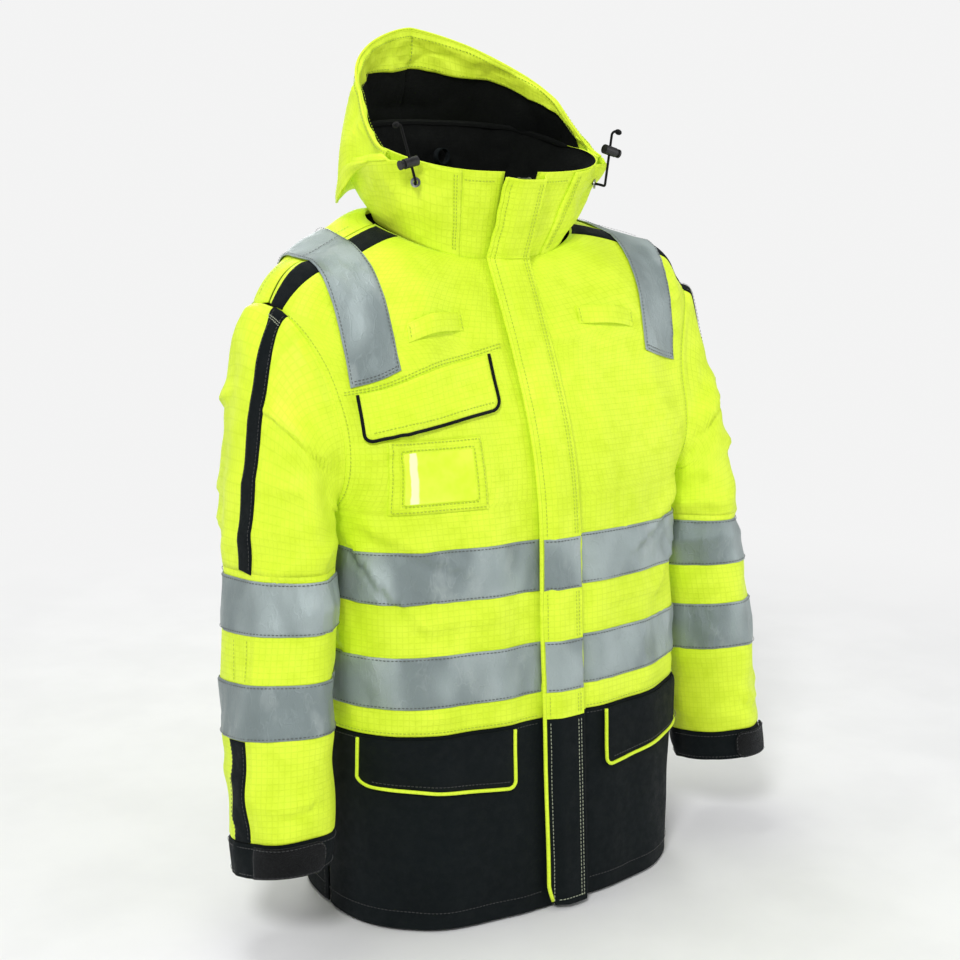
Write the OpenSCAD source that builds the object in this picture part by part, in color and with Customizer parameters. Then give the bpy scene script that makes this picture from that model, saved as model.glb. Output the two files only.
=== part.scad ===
// Hooded high-visibility work parka, standing as if worn.
// +Z is up, the front faces -Y and the wearer's left is +X.
// The origin is on the hem's level, in the middle of the coat's width and depth.

/* [Body] */
// Front neck seam above the hem
neck_front_h = 729; // [715:1:745]
// Half width of the body at the hem
hem_half_w = 226; // [215:1:232]
// Height of the dark lower section
skirt_h = 222; // [210:1:230]
// Height at which the shoulder surface starts
yoke_h = 600; // [600:1:605]
// Thickness of the shell fabric with its backing
shell_t = 3; // [2:0.5:3]

/* [Collar and hood] */
// Height of the collar at the front
collar_h = 97; // [90:1:100]
// How far the collar's back edge stands above its front edge
collar_rise = 56; // [45:1:60]
// Height of the hood's peak above the hem
hood_peak_h = 991; // [970:1:1000]

/* [Sleeves] */
// Height of the sleeve's open end above the hem
sleeve_end_h = 92; // [86:1:98]
// Height of the cuff band
cuff_h = 36; // [30:1:38]

/* [Reflective tape] */
// Width of the tape
tape_w = 58; // [50:1:60]
// Height of the lower hoop's bottom edge
hoop_low_h = 253; // [248:1:258]
// Height of the upper hoop's bottom edge
hoop_high_h = 369; // [364:1:376]
// Distance of each brace's middle from the centre line
brace_x = 199; // [195:1:202]

/* [Front closure] */
// Width of the storm flap
flap_w = 52; // [48:1:54]
// Height up to which the storm flap swings
flap_open_h = 455; // [430:1:460]

/* [Pockets] */
// Height of the lower pocket flaps
pocket_flap_h = 70; // [60:1:72]
// Height of the chest pocket flap
chest_flap_h = 60; // [50:1:62]

/* [Hidden] */
$fn = 32;

hi_vis = "#d9f23a";
dark = "#1c2224";
silver = "#9aa3a6";
fleece = "#0d0f10";
plastic = "#151515";
metal = "#5c6064";

RIGHT = -1;
LEFT = 1;
BACK = 90;
FRONT = -90;

// ---- Body sections: height above the hem against a size -------------------------------
// Depths are given from the side seams' line, which is this far from the origin
y0 = -23.7;
function from_seam(t) = [for (p = t) [p[0], y0 + p[1]]];
front_y = from_seam([[0, -146], [460, -107], [520, -95], [560, -82], [yoke_h, -60]]);
back_y = from_seam([[0, 136], [skirt_h, 126], [400, 132], [yoke_h, 146]]);
half_w = [[0, hem_half_w], [skirt_h, 234], [400, 230], [470, 240], [540, 290], [yoke_h, 305]];
middle_y = from_seam([[0, 0], [300, 0], [470, 10], [yoke_h, 32]]);
section_n = 2.9;

neck_a = 119;
neck_b = 68;
neck_y = y0 + 72;
top_a = 146;
top_b = 86;
top_y = y0 + 56;

function unit(v) = v / norm(v);
function spow(x, e) = sign(x) * pow(abs(x), e);
function mix(a, b, t) = a + (b - a) * t;
function ease(t) = t * t * (3 - 2 * t);

// A point of the body's wall, by angle round the body and height
function wall(a, z) =
    let (m = lookup(z, middle_y), depth = sin(a) < 0 ? m - lookup(z, front_y) : lookup(z, back_y) - m)
    [lookup(z, half_w) * spow(cos(a), 2 / section_n), m + depth * spow(sin(a), 2 / section_n), z];

// The neck seam, and the collar's top edge
function neck(a) = [neck_a * spow(cos(a), 2 / 2.5), neck_y + neck_b * spow(sin(a), 2 / 2.5),
    neck_front_h + 28 + 28 * sin(a) + 12 * pow(cos(a), 2)];
function collar_top(a) = [top_a * spow(cos(a), 2 / 3), top_y + top_b * spow(sin(a), 2 / 3),
    neck_front_h + collar_h + collar_rise * (1 + sin(a)) / 2];

// The shoulder surface, from the wall (t = 0) to the neck seam (t = 1)
function shoulder(a, t) =
    let (base = wall(a, yoke_h), end = neck(a), slack = sin(a) < 0 ? 1.05 : 1.2,
        n = slack + (3 - slack) * pow(abs(cos(a)), 1.5),
        c = pow(cos(90 * t), 2 / n), s = pow(sin(90 * t), 2 / n))
    [mix(end.x, base.x, c), mix(end.y, base.y, c), mix(base.z, end.z, s)];

// One surface for the whole body: s is the height up to the shoulders, then runs 100 to the neck
neck_s = yoke_h + 100;
function body(a, s) = s <= yoke_h ? wall(a, s) : shoulder(a, (s - yoke_h) / 100);

// A surface point moved out along its normal
function lifted(f, u, v, off, du, dv) =
    let (p = f(u, v), n = cross(f(u + du, v) - f(u - du, v), f(u, v + dv) - f(u, v - dv)))
    norm(n) < 1e-9 ? p : p + off * unit(n);
body_at = function (a, s) body(a, s);
function on_body(a, s, off) = lifted(body_at, a, min(s, neck_s - 1), off, 1.5, 1);

// The angle at which the body's surface reaches a given x, on the front (side = -1) or the back
function angle_at(x, s, side, lo = 0, hi = 90, n = 14) =
    n == 0 ? side * (lo + hi) / 2
    : let (m = (lo + hi) / 2) body(side * m, s).x > x ? angle_at(x, s, side, m, hi, n - 1)
        : angle_at(x, s, side, lo, m, n - 1);

// The armhole: the x of its edge, and where it crosses the shoulder
arm_low = 470;
arm_in = 240;
arm_out = 288;
function arm_x(z) = arm_in + (arm_out - arm_in) * pow(max(0, min(1, (z - arm_low) / 240)), 3);
function arm_angle(s, side, n = 14, lo = 0, hi = 90) =
    n == 0 ? side * (lo + hi) / 2
    : let (m = (lo + hi) / 2, p = body(side * m, s))
        p.x > arm_x(p.z) ? arm_angle(s, side, n - 1, m, hi) : arm_angle(s, side, n - 1, lo, m);
// s at which the side meridian crosses the armhole on top of the shoulder
function arm_top(lo = yoke_h, hi = neck_s, n = 14) =
    n == 0 ? (lo + hi) / 2
    : let (m = (lo + hi) / 2, p = body(0, m)) p.x > arm_x(p.z)
        ? arm_top(m, hi, n - 1) : arm_top(lo, m, n - 1);
arm_top_s = arm_top();
function edge_angle(s, side) = s < arm_low || s > arm_top_s ? 0 : arm_angle(s, side);

// ---- Sheets -----------------------------------------------------------------------------
// A closed sheet between two offsets of f(u, v, off), with u and v from 0 to 1
module sheet(f, nu, nv, lo, hi) {
    row = nu + 1;
    half = row * (nv + 1);
    points = [for (o = [lo, hi]) for (j = [0:nv]) for (i = [0:nu]) f(i / nu, j / nv, o)];
    quads = concat(
        [for (j = [0:nv - 1]) for (i = [0:nu - 1])
            [half + j * row + i, half + (j + 1) * row + i, half + (j + 1) * row + i + 1,
                half + j * row + i + 1]],
        [for (j = [0:nv - 1]) for (i = [0:nu - 1])
            [j * row + i, j * row + i + 1, (j + 1) * row + i + 1, (j + 1) * row + i]],
        [for (i = [0:nu - 1]) [i, half + i, half + i + 1, i + 1]],
        [for (i = [0:nu - 1]) [nv * row + i, nv * row + i + 1, half + nv * row + i + 1,
            half + nv * row + i]],
        [for (j = [0:nv - 1]) [j * row, (j + 1) * row, half + (j + 1) * row, half + j * row]],
        [for (j = [0:nv - 1]) [j * row + nu, half + j * row + nu, half + (j + 1) * row + nu,
            (j + 1) * row + nu]]);
    triangles = [for (q = quads) each [[q[0], q[1], q[2]], [q[0], q[2], q[3]]]];
    polyhedron(points, triangles);
}
module on_side(side) {
    if (side == RIGHT) mirror([1, 0, 0]) children();
    else children();
}

// ---- Body panels: drawn for the wearer's left, and mirrored -------------------------------
front_gap = 4;
seam = 0.6;
rows = [skirt_h, 300, 400, 460, arm_low, 520, 560, yoke_h, 615, 630, 650, 670, 685, neck_s];
function row_s(v) = let (i = v * (len(rows) - 1), k = min(floor(i + 1e-6), len(rows) - 2))
    mix(rows[k], rows[k + 1], i - k);
function centre_angle(s) = angle_at(front_gap, s, -1);

module front_panel(side) {
    on_side(side) color(hi_vis) sheet(function (u, v, o)
        let (s = row_s(v)) on_body(mix(centre_angle(s), edge_angle(s, -1) - seam, u), s, o), 12,
            len(rows) - 1, -shell_t, 0);
}
module lower_front(side) {
    on_side(side) color(dark) sheet(function (u, v, o)
        let (s = mix(0, skirt_h - seam, v)) on_body(mix(centre_angle(s), -seam, u), s, o), 12, 2,
            -shell_t, 0);
}
module back_panel() {
    color(hi_vis) sheet(function (u, v, o)
        let (s = row_s(v), e = edge_angle(s, 1) + seam) on_body(mix(e, 180 - e, u), s, o), 24,
            len(rows) - 1, -shell_t, 0);
}
module lower_back() {
    color(dark) sheet(function (u, v, o)
        on_body(mix(seam, 180 - seam, u), mix(0, skirt_h - seam, v), o), 24, 2, -shell_t, 0);
}
// The quilted lining hangs inside the shell, from above the hem to the armholes
module body_lining() {
    color(fleece) for (side = [RIGHT, LEFT]) {
        on_side(side) sheet(function (u, v, o)
            let (s = mix(25, arm_low - 10, v)) on_body(mix(-78, -2, u), s, o), 10, 4, -14, -11);
        on_side(side) sheet(function (u, v, o)
            let (s = mix(25, arm_low - 10, v)) on_body(mix(2, 89, u), s, o), 12, 4, -14, -11);
    }
}

// ---- Reflective tape ----------------------------------------------------------------------
module hoop(z) {
    for (side = [RIGHT, LEFT]) {
        on_side(side) sheet(function (u, v, o)
            on_body(mix(angle_at(side == LEFT ? flap_w / 2 + 10 : 24, z, -1), -seam, u), z + v * tape_w,
                o), 12, 2, 1.4, 2.4);
        on_side(side) sheet(function (u, v, o) on_body(mix(seam, 89.7, u), z + v * tape_w, o), 12, 2, 1.4,
            2.4);
    }
}
module waist_tapes() {
    color(silver) {
        hoop(hoop_low_h);
        hoop(hoop_high_h);
    }
}
// Highest s that the surface reaches at a given x, on the shoulder line
function crest(x, lo = yoke_h, hi = neck_s, n = 12) =
    n == 0 ? (lo + hi) / 2
    : let (m = (lo + hi) / 2) body(0, m).x > x ? crest(x, m, hi, n - 1) : crest(x, lo, m, n - 1);
brace_end = 626;
module braces() {
    color(silver) for (side = [RIGHT, LEFT]) on_side(side)
        sheet(function (u, v, o)
            let (w = 2 * v - 1, k = abs(w), x = brace_x + 9 * (1 - k) - tape_w / 2 + tape_w * u,
                s = mix(crest(x), s_at(x, brace_end - 14 * u), k), lift = o + 3 * (1 - k))
            on_body(angle_at(x, s, w < 0 ? -1 : 1), s, lift), 4, 24, 2.4, 3.4);
}
module shoulder_stripes() {
    color(dark) for (side = [RIGHT, LEFT]) on_side(side)
        sheet(function (u, v, o)
            let (s = mix(arm_top_s + 1, neck_s - 2, v)) on_body(mix(-17, -3, u) * mix(0.6, 1.5, v), s, o),
                2, 10, 1, 1.8);
}

// ---- Collar ---------------------------------------------------------------------------------
function collar_at(a, v) = let (p = neck(a), q = collar_top(a), b = sin(180 * v) * 2.5 * (1 + sin(a)))
    mix(p, q, v) + [b * cos(a), b * sin(a), 0];
collar_surface = function (a, v) collar_at(a, v);
function on_collar(a, v, off) = lifted(collar_surface, a, v, off, 1.5, 0.01);
collar_gap = 4;
module collar() {
    color(hi_vis) sheet(function (u, v, o)
        on_collar(mix(FRONT + collar_gap, 270 - collar_gap, u), mix(0.03, 1, v), o), 26, 3, -shell_t, 0);
}
module collar_lining() {
    color(fleece) sheet(function (u, v, o)
        on_collar(mix(FRONT + collar_gap + 4, 266 - collar_gap, u), mix(-0.06, 0.99, v), o), 26, 3, -7.4,
            -4.8);
}
// A tape loop that stands forward of the collar's back, for a coat hook
loop_r = 8;
loop_t = 1.5;
loop_l = 10;
loop_z = 842;
module hang_loop() {
    y = collar_at(BACK, 0.5).y - 9;
    color(dark) translate([0, y, loop_z]) rotate([90, 0, 0]) difference() {
        cylinder(r = loop_r + loop_t, h = loop_l, $fn = 48);
        translate([0, 0, -1]) cylinder(r = loop_r, h = loop_l + 2, $fn = 48);
    }
}

// ---- Front closure -----------------------------------------------------------------------------
// The centre-front line as [y, z]: w runs 0 to 1 from the hem to the neck seam, then to 2 at the collar's top
function front_line(w) = let (p = w <= 1 ? body(FRONT, w * neck_s) : collar_at(FRONT, w - 1)) [p.y, p.z];
function front_normal(w) =
    let (a = front_line(max(0, w - 0.01)), b = front_line(min(2, w + 0.01)), d = (b - a) / norm(b - a))
        [-d.y, d.x];
function at_front(x, w, off) = let (p = front_line(w), n = front_normal(w))
    [x, p.x + n.x * off, p.y + n.y * off];
function w_of(z) = z / neck_s;

zip_off = 2.4;
tooth_off = zip_off + 2.5;
module zip_tape() {
    color(dark) for (side = [RIGHT, LEFT]) on_side(side)
        sheet(function (u, v, o) at_front(mix(4.2, 12, u), mix(w_of(12), 1.96, v), o), 1, 40,
            zip_off - 0.8, zip_off);
}
tooth_pitch = 8;
tooth = [5, 2.4, 3.2];
module zip_teeth() {
    steps = floor(816 / tooth_pitch);
    color(plastic) for (i = [0:steps]) {
        w = mix(w_of(14), 1.93, i / steps);
        p = at_front(0, w, tooth_off);
        n = front_normal(w);
        translate([i % 2 == 0 ? 1.5 : -1.5, p.y, p.z]) rotate([atan2(-n.y, -n.x), 0, 0])
            cube(tooth, center = true);
    }
}
slider_l = 18;
plate_y = -2.2;
pin_y = -3.9;
pin_z = 4;
module at_slider(w) {
    p = at_front(0, w, tooth_off);
    n = front_normal(w);
    translate([0, p.y, p.z]) rotate([atan2(-n.y, -n.x), 0, 0]) children();
}
// The slider's side walls clear the teeth, and two lugs on its plate hold the pull's pin
module slider_body(w) {
    color(metal) at_slider(w) {
        for (side = [RIGHT, LEFT]) translate([side * 7.2, -1, 0]) cube([3.4, 3.6, slider_l], center = true);
        translate([0, plate_y, 0]) cube([17.8, 1.2, slider_l], center = true);
        for (side = [RIGHT, LEFT]) translate([side * 2.4, plate_y - 1.5, pin_z]) cube([1.4, 2.4, 5],
            center = true);
    }
}
pull_l = 24;
pull_t = 1;
module pull_tab(w) {
    color(metal) at_slider(w) translate([0, pin_y, pin_z]) {
        rotate([0, 90, 0]) cylinder(r = 0.6, h = 3, center = true, $fn = 24);
        translate([0, 0, -pull_l / 2]) cube([3, pull_t, pull_l], center = true);
        translate([0, 0, -pull_l + 2]) rotate([90, 0, 0]) cylinder(r = 4, h = pull_t, center = true,
            $fn = 32);
    }
}
top_w = 1.88;
bottom_w = w_of(50);
flap_off = 12;
flap_t = 3;
flap_steps = 12;
w_open = w_of(flap_open_h);
module storm_flap() {
    color(hi_vis) sheet(function (u, v, o)
        at_front(mix(-flap_w / 2 + 3, flap_w / 2, u), mix(w_of(skirt_h + 1), w_open - 0.002, v), o), 2, 5,
            flap_off, flap_off + flap_t);
    color(dark) sheet(function (u, v, o)
        at_front(mix(-flap_w / 2 + 3 + 8 * pow(1 - v, 6), flap_w / 2, u), mix(w_of(2), w_of(skirt_h), v),
            o), 2, 6, flap_off, flap_off + flap_t);
}
module flap_binding() {
    color(hi_vis) sheet(function (u, v, o)
        at_front(mix(-flap_w / 2, -flap_w / 2 + 2.7, u), mix(w_of(8), w_open - 0.002, v), o), 1, 10,
            flap_off - 1, flap_off + flap_t);
}
module flap_tapes() {
    color(silver) for (z = [hoop_low_h, hoop_high_h])
        sheet(function (u, v, o)
            at_front(mix(-flap_w / 2 + 3, flap_w / 2, u), mix(w_of(z), w_of(z + tape_w), v), o), 1, 1,
                flap_off + flap_t + 0.3, flap_off + flap_t + 1.3);
}
module collar_flap() {
    color(hi_vis) sheet(function (u, v, o)
        at_front(mix(-flap_w / 2, flap_w / 2, u), mix(w_open + 0.004, 1.99, v), o), 2, 22, flap_off,
            flap_off + flap_t);
}
// The seam allowance that joins the storm flap to the left front
module flap_root() {
    color(hi_vis) sheet(function (u, v, o)
        at_front(mix(flap_w / 2 + 3, flap_w / 2 + 9, u), mix(w_of(4), 0.96, v), o * mix(1, 0.5, u)), 2,
            18, 5, flap_off + flap_t);
}
grip_h = 50;
grip_at = [70, 190, 330];
module grips(lo, hi) {
    color(fleece) for (z = grip_at)
        sheet(function (u, v, o)
            at_front(mix(-flap_w / 2 + 4, -13.5, u), mix(w_of(z), w_of(z + grip_h), v), o), 1, 1, lo, hi);
}
module loop_patches() {
    grips(0.8, 2.4);
}
module hook_patches() {
    grips(flap_off - 2, flap_off - 0.3);
}

// ---- Pockets ---------------------------------------------------------------------------------------
// A patch on the body between two x values, with its lower and upper edges as heights
function patch_at(x0, x1, lo0, hi0, lo1, hi1) = function (u, v, o)
    let (x = mix(x0, x1, u), s = mix(mix(lo0, lo1, u), mix(hi0, hi1, u), v))
        on_body(angle_at(x, s, -1), s, o);
pocket_in = 62;
pocket_out = 226;
pocket_top = skirt_h - 3;
pipe_w = 5;
module pocket_flap(side) {
    on_side(side) color(dark) sheet(patch_at(pocket_in + pipe_w, pocket_out - 4,
        pocket_top - pocket_flap_h + pipe_w,
        pocket_top, pocket_top - pocket_flap_h + pipe_w + 14, pocket_top), 8, 2, 2.4, 5);
}
module pocket_piping(side) {
    low = pocket_top - pocket_flap_h;
    on_side(side) color(hi_vis) {
        sheet(patch_at(pocket_in + pipe_w, pocket_out - 4, low, low + pipe_w - 0.4, low + 14,
            low + 14 + pipe_w - 0.4), 8, 1, 2.2, 5.6);
        sheet(patch_at(pocket_in, pocket_in + pipe_w - 0.4, low, pocket_top, low, pocket_top), 1, 2, 2.2,
            5.6);
        sheet(patch_at(pocket_out - 3.6, pocket_out - 1, low + 14, pocket_top, low + 14, pocket_top), 1,
            2, 2.2, 5.6);
    }
}
module pocket_bags() {
    color(fleece) {
        for (side = [RIGHT, LEFT]) on_side(side)
            sheet(patch_at(pocket_in + 12, pocket_out - 25, 60, pocket_top - 12, 70, pocket_top - 12), 10,
                2, -9, -7.4);
        mirror([1, 0, 0]) sheet(patch_at(70, 200, 470, 590, 470, 575), 8, 4, -9, -7.4);
    }
}
chest_in = 55;
chest_out = 224;
chest_top = 629;
// s of the point of the front surface at a given x and height
function s_at(x, z, lo = yoke_h, hi = neck_s, n = 12) =
    z <= yoke_h ? z : n == 0 ? (lo + hi) / 2
    : let (m = (lo + hi) / 2) body(angle_at(x, m, -1), m).z < z
        ? s_at(x, z, m, hi, n - 1) : s_at(x, z, lo, m, n - 1);
function on_front(x, z, off) = let (s = s_at(x, z)) on_body(angle_at(x, s, -1), s, off);
chest_slope = 0.16;
function chest_patch(x0, x1, drop0, drop1) = function (u, v, o)
    let (x = mix(x0, x1, u), top = chest_top - (x - chest_in) * chest_slope)
        on_front(x, top - mix(drop0, drop1, v), o);
module chest_flap() {
    mirror([1, 0, 0]) color(hi_vis)
        sheet(chest_patch(chest_in + 4, chest_out - 4, chest_flap_h - 4, 0), 7, 3, 3, 5.6);
}
module chest_piping() {
    mirror([1, 0, 0]) color(dark) {
        sheet(chest_patch(chest_in + 4, chest_out - 4, chest_flap_h, chest_flap_h - 3.6), 7, 1, 2.8, 6);
        sheet(chest_patch(chest_in, chest_in + 3.6, chest_flap_h, 0), 1, 3, 2.8, 6);
        sheet(chest_patch(chest_out - 3.6, chest_out, chest_flap_h, 0), 1, 3, 2.8, 6);
    }
}
badge_in = 90;
badge_out = 200;
badge_top = 545;
badge_low = 470;
window_h = 54;
module badge_holder() {
    mid = (badge_top + badge_low) / 2;
    color(hi_vis) mirror([1, 0, 0]) {
        sheet(patch_at(badge_in, badge_out, mid + window_h / 2, badge_top, mid + window_h / 2,
            badge_top - 8), 5, 1, 1.6, 3.6);
        sheet(patch_at(badge_in, badge_out, badge_low, mid - window_h / 2, badge_low, mid - window_h / 2),
            5, 1, 1.6, 3.6);
        sheet(patch_at(badge_in, badge_in + 12, mid - window_h / 2, mid + window_h / 2,
            mid - window_h / 2, mid + window_h / 2), 1, 2, 1.6, 3.6);
        sheet(patch_at(badge_out - 15, badge_out, mid - window_h / 2, mid + window_h / 2,
            mid - window_h / 2, mid + window_h / 2), 1, 2, 1.6, 3.6);
    }
}
module badge_window() {
    mid = (badge_top + badge_low) / 2;
    color("#e8f58a") mirror([1, 0, 0]) sheet(patch_at(badge_in + 12.3, badge_out - 15.3,
        mid - window_h / 2 + 0.3,
        mid + window_h / 2 - 0.3, mid - window_h / 2 + 0.3, mid + window_h / 2 - 0.3), 4, 2, 2, 2.6);
}
loop_x0 = 86;
loop_x1 = 146;
loop_low = 660;
module mic_loops() {
    color(hi_vis) for (side = [RIGHT, LEFT]) on_side(side)
        sheet(function (u, v, o)
            on_front(mix(loop_x0, loop_x1, u), loop_low + v * 18, o + 6 * sin(180 * u) + 0.6), 8, 1, 0,
                1.6);
}

// ---- Hood ---------------------------------------------------------------------------------------------
// The hood's skirt wraps the collar outside, from one side of the front to the other round the back
skirt_a = -66;
module hood_skirt() {
    color(hi_vis) sheet(function (u, v, o)
        on_collar(mix(skirt_a, 180 - skirt_a, u), mix(0.1, 1, v), o + 1.6 * sin(180 * v)), 26, 3, 1.5, 3.3);
}
// b runs 0 to 180 from the wearer's left cord, over the peak, to the right one
cord_a = -26;
hood_front_z = 852;
hood_lean = 32;
function base_angle(b) = b > 90 ? 180 - base_angle(180 - b) : mix(cord_a, 90, pow(b / 90, 0.7));
function hood_base(b) = on_collar(base_angle(b), mix(1, 0.3, pow(sin(b), 0.7)), 14.5 + 2 * sin(b));
function hood_rim(b) = [148 * spow(cos(b), 1.5) - hood_lean * sin(b), y0 + 7 + 148 * pow(sin(b), 0.57),
    hood_front_z + (hood_peak_h - 3 - hood_front_z) * pow(sin(b), 0.67)];
function hood_out(b) = [cos(b) * 0.8, sin(b), 0];
function bezier(p, q, r, s, t) =
    pow(1 - t, 3) * p + 3 * t * pow(1 - t, 2) * q + 3 * t * t * (1 - t) * r + pow(t, 3) * s;
function hood_at(b, t) = let (p = hood_base(b), q = hood_rim(b), k = pow(sin(b), 1.3))
    bezier(p, p + hood_out(b) * (12 + 66 * k) - [0, 0, 50 * k],
        q + hood_out(b) * (4 + 40 * k) - [0, 0, 70 * k], q, t);
hood_surface = function (b, t) hood_at(b, t);
function on_hood(b, t, off) = lifted(hood_surface, b, t, off, 1.5, 0.01);
module hood_shell() {
    color(hi_vis) sheet(function (u, v, o) on_hood(mix(4, 176, u), mix(0.02, 1, v), o), 20, 8, 0, shell_t);
}
module hood_facing() {
    color(hi_vis) sheet(function (u, v, o) on_hood(mix(6, 174, u), mix(0.76, 0.995, v), o), 20, 2, -4, -2);
}
module hood_lining() {
    color(fleece) sheet(function (u, v, o) on_hood(mix(6, 174, u), mix(0.03, 0.755, v), o), 20, 6, -4, -2);
}

// ---- Hood cords -----------------------------------------------------------------------------------------
eyelet_a = -38;
eyelet_turn = 42;
function eyelet_p() = on_collar(eyelet_a, 0.78, 7);
module at_eyelet() {
    translate(eyelet_p()) rotate([90, 0, eyelet_turn]) children();
}
module cord_eyelets() {
    color(metal) for (side = [RIGHT, LEFT]) on_side(side) at_eyelet() difference() {
        cylinder(r = 5.5, h = 1.4, $fn = 40);
        translate([0, 0, -1]) cylinder(r = 2.6, h = 4, $fn = 40);
    }
}
// The cord leaves the eyelet and runs straight through the lock's cross bore.
// z is along the cord and x along the barrel.
cord_r = 1.5;
cord_l = 62;
lock_r = 5.5;
lock_l = 17;
lock_wall = 1.3;
press = 3;
function lock_at(side) = side == RIGHT ? 22 : 40;
module at_cord() {
    translate(eyelet_p()) rotate([-8, 14, 0]) translate([7, -12, 0]) children();
}
module at_lock(side) {
    at_cord() translate([0, 0, lock_at(side)]) children();
}
module hood_cords() {
    color(plastic) for (side = [RIGHT, LEFT]) on_side(side) {
        at_cord() cylinder(r = cord_r, h = cord_l, $fn = 24);
        at_cord() translate([0, 0, cord_l]) sphere(r = 3, $fn = 24);
        at_cord() sphere(r = cord_r, $fn = 24);
        at_eyelet() cylinder(r = cord_r, h = 13.4, $fn = 24);
    }
}
module cord_lock(side) {
    on_side(side) color(plastic) at_lock(side) difference() {
        rotate([0, 90, 0]) cylinder(r = lock_r, h = lock_l, center = true, $fn = 40);
        translate([-lock_l / 2 + lock_wall, 0, 0]) rotate([0, 90, 0]) cylinder(r = lock_r - lock_wall,
            h = lock_l, $fn = 40);
        cylinder(r = cord_r + 0.5, h = 20, center = true, $fn = 24);
    }
}
// The button's slot leaves the cord room as the button is pressed
module cord_button(side) {
    button_l = lock_l - lock_wall - press - 0.5;
    on_side(side) color(plastic) at_lock(side) difference() {
        translate([lock_l / 2 - button_l, 0, 0]) rotate([0, 90, 0]) {
            cylinder(r = lock_r - lock_wall - 0.3, h = button_l + press + 0.6, $fn = 40);
            translate([0, 0, button_l + press + 0.6]) cylinder(r = lock_r - 0.4, h = 2.2, $fn = 40);
        }
        translate([press / 2, 0, 0]) cube([2 * cord_r + 1 + press, 2 * cord_r + 1, 12], center = true);
    }
}

// ---- Sleeves: drawn for the wearer's left, and mirrored ---------------------------------
// Middle and half sizes of the sleeve's level sections
sleeve_x = [[sleeve_end_h, 319], [280, 305], [385, 289], [arm_low, 289], [560, 279]];
sleeve_y = from_seam([[sleeve_end_h, -61], [280, -26], [385, -4], [arm_low, 14], [560, 28]]);
sleeve_a = [[sleeve_end_h, 51], [128, 52], [280, 53], [385, 51], [arm_low, 46], [560, 44]];
sleeve_b = [[sleeve_end_h, 57], [128, 61], [280, 76], [385, 86], [arm_low, 90], [560, 86]];
sleeve_lean = [[sleeve_end_h, 0.2], [280, 0.16], [385, 0.1], [arm_low, 0]];
function tube(a, z) = let (y = lookup(z, sleeve_b) * sin(a))
    [lookup(z, sleeve_x) + lookup(z, sleeve_a) * cos(a), lookup(z, sleeve_y) + y,
        z - y * lookup(z, sleeve_lean)];
// The armhole loop, by angle: 0 is the sleeve's outer side and so the top of the armhole
function loop_point(a) = let (side = sin(a) < 0 ? -1 : 1, h = (1 + cos(a)) / 2,
    s = mix(arm_low, arm_top_s, h)) on_body(edge_angle(min(max(s, arm_low + 0.01), arm_top_s - 0.01),
    side), s, 0);
// From the armhole (t = 0) out and down to the hanging tube (t = 1)
join_low = 430;
join_high = 560;
function join_end(a) = tube(a, mix(join_low, join_high, (1 + cos(a)) / 2));
function cap(a, t) = let (p = loop_point(a), q = join_end(a), k = (1 + cos(a)) / 2,
        up = max(0, q.x - p.x) * 0.55 + 10)
    bezier(p, p + [up, 0, -12 * k], q + [0, 0, 62 * k + 10], q, t);
function sleeve(a, s) = s <= 0 ? tube(a, mix(mix(join_low, join_high, (1 + cos(a)) / 2), sleeve_end_h,
    -s)) : cap(a, 1 - s);
sleeve_surface = function (a, s) sleeve(a, s);
function on_sleeve(a, s, off) = lifted(sleeve_surface, a, s, off, 2, 0.02);
// s of a height on the hanging tube, at an angle
function sleeve_s(a, z) = let (j = mix(join_low, join_high,
    (1 + cos(a)) / 2)) -(j - z) / (j - sleeve_end_h);
stripe_a = -22;
function stripe_turn(s) = s > 0 ? stripe_a : mix(stripe_a, -8, min(1, -s * 1.6));
elbow_z = 408;
elbow_gap = 2;
module sleeve_shell(side, s0, s1, rows) {
    on_side(side) color(hi_vis) for (half = [[stripe_a, 158], [158, 338]])
        sheet(function (u, v, o)
            let (a = mix(half[0] + 0.4, half[1] - 0.4, u)) on_sleeve(a, mix(s0(a), s1(a), v), o), 12,
                rows, -shell_t, 0);
}
module sleeve_upper(side) {
    sleeve_shell(side, function (a) sleeve_s(a, elbow_z + elbow_gap), function (a) 0.97, 10);
}
module sleeve_lower(side) {
    sleeve_shell(side, function (a) sleeve_s(a, sleeve_end_h + cuff_h + 1),
        function (a) sleeve_s(a, elbow_z), 5);
}
module stripe_upper(side) {
    on_side(side) color(dark)
        sheet(function (u, v, o)
            let (s = mix(sleeve_s(-10, elbow_z + elbow_gap + 1), 0.96, v))
                on_sleeve(stripe_turn(s) + mix(-8, 8, u), s, o), 2, 10, 1.4, 2.2);
}
module stripe_lower(side) {
    on_side(side) color(dark)
        sheet(function (u, v, o)
            let (a = -8 + mix(-12, 12, u)) on_sleeve(a, mix(sleeve_s(a, sleeve_end_h + cuff_h + 1),
                sleeve_s(a, tape_low - 1), v), o), 2, 3, 1.4, 2.2);
}
tape_low = 236;
tape_high = 344;
module sleeve_tapes(side) {
    on_side(side) color(silver) for (z = [tape_low, tape_high]) for (half = [[0, 180], [180, 360]])
        sheet(function (u, v, o)
            let (a = mix(half[0], half[1], u) + stripe_a) on_sleeve(a, sleeve_s(a, z + v * tape_w), o),
                12, 1, 1.6, 2.6);
}
module cuff(side) {
    on_side(side) color(dark) for (half = [[0, 180], [180, 360]])
        sheet(function (u, v, o)
            let (a = mix(half[0] + 0.3, half[1] - 0.3, u))
                on_sleeve(a, sleeve_s(a, sleeve_end_h + v * cuff_h), o), 12, 1, -shell_t, 0.6);
}
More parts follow.
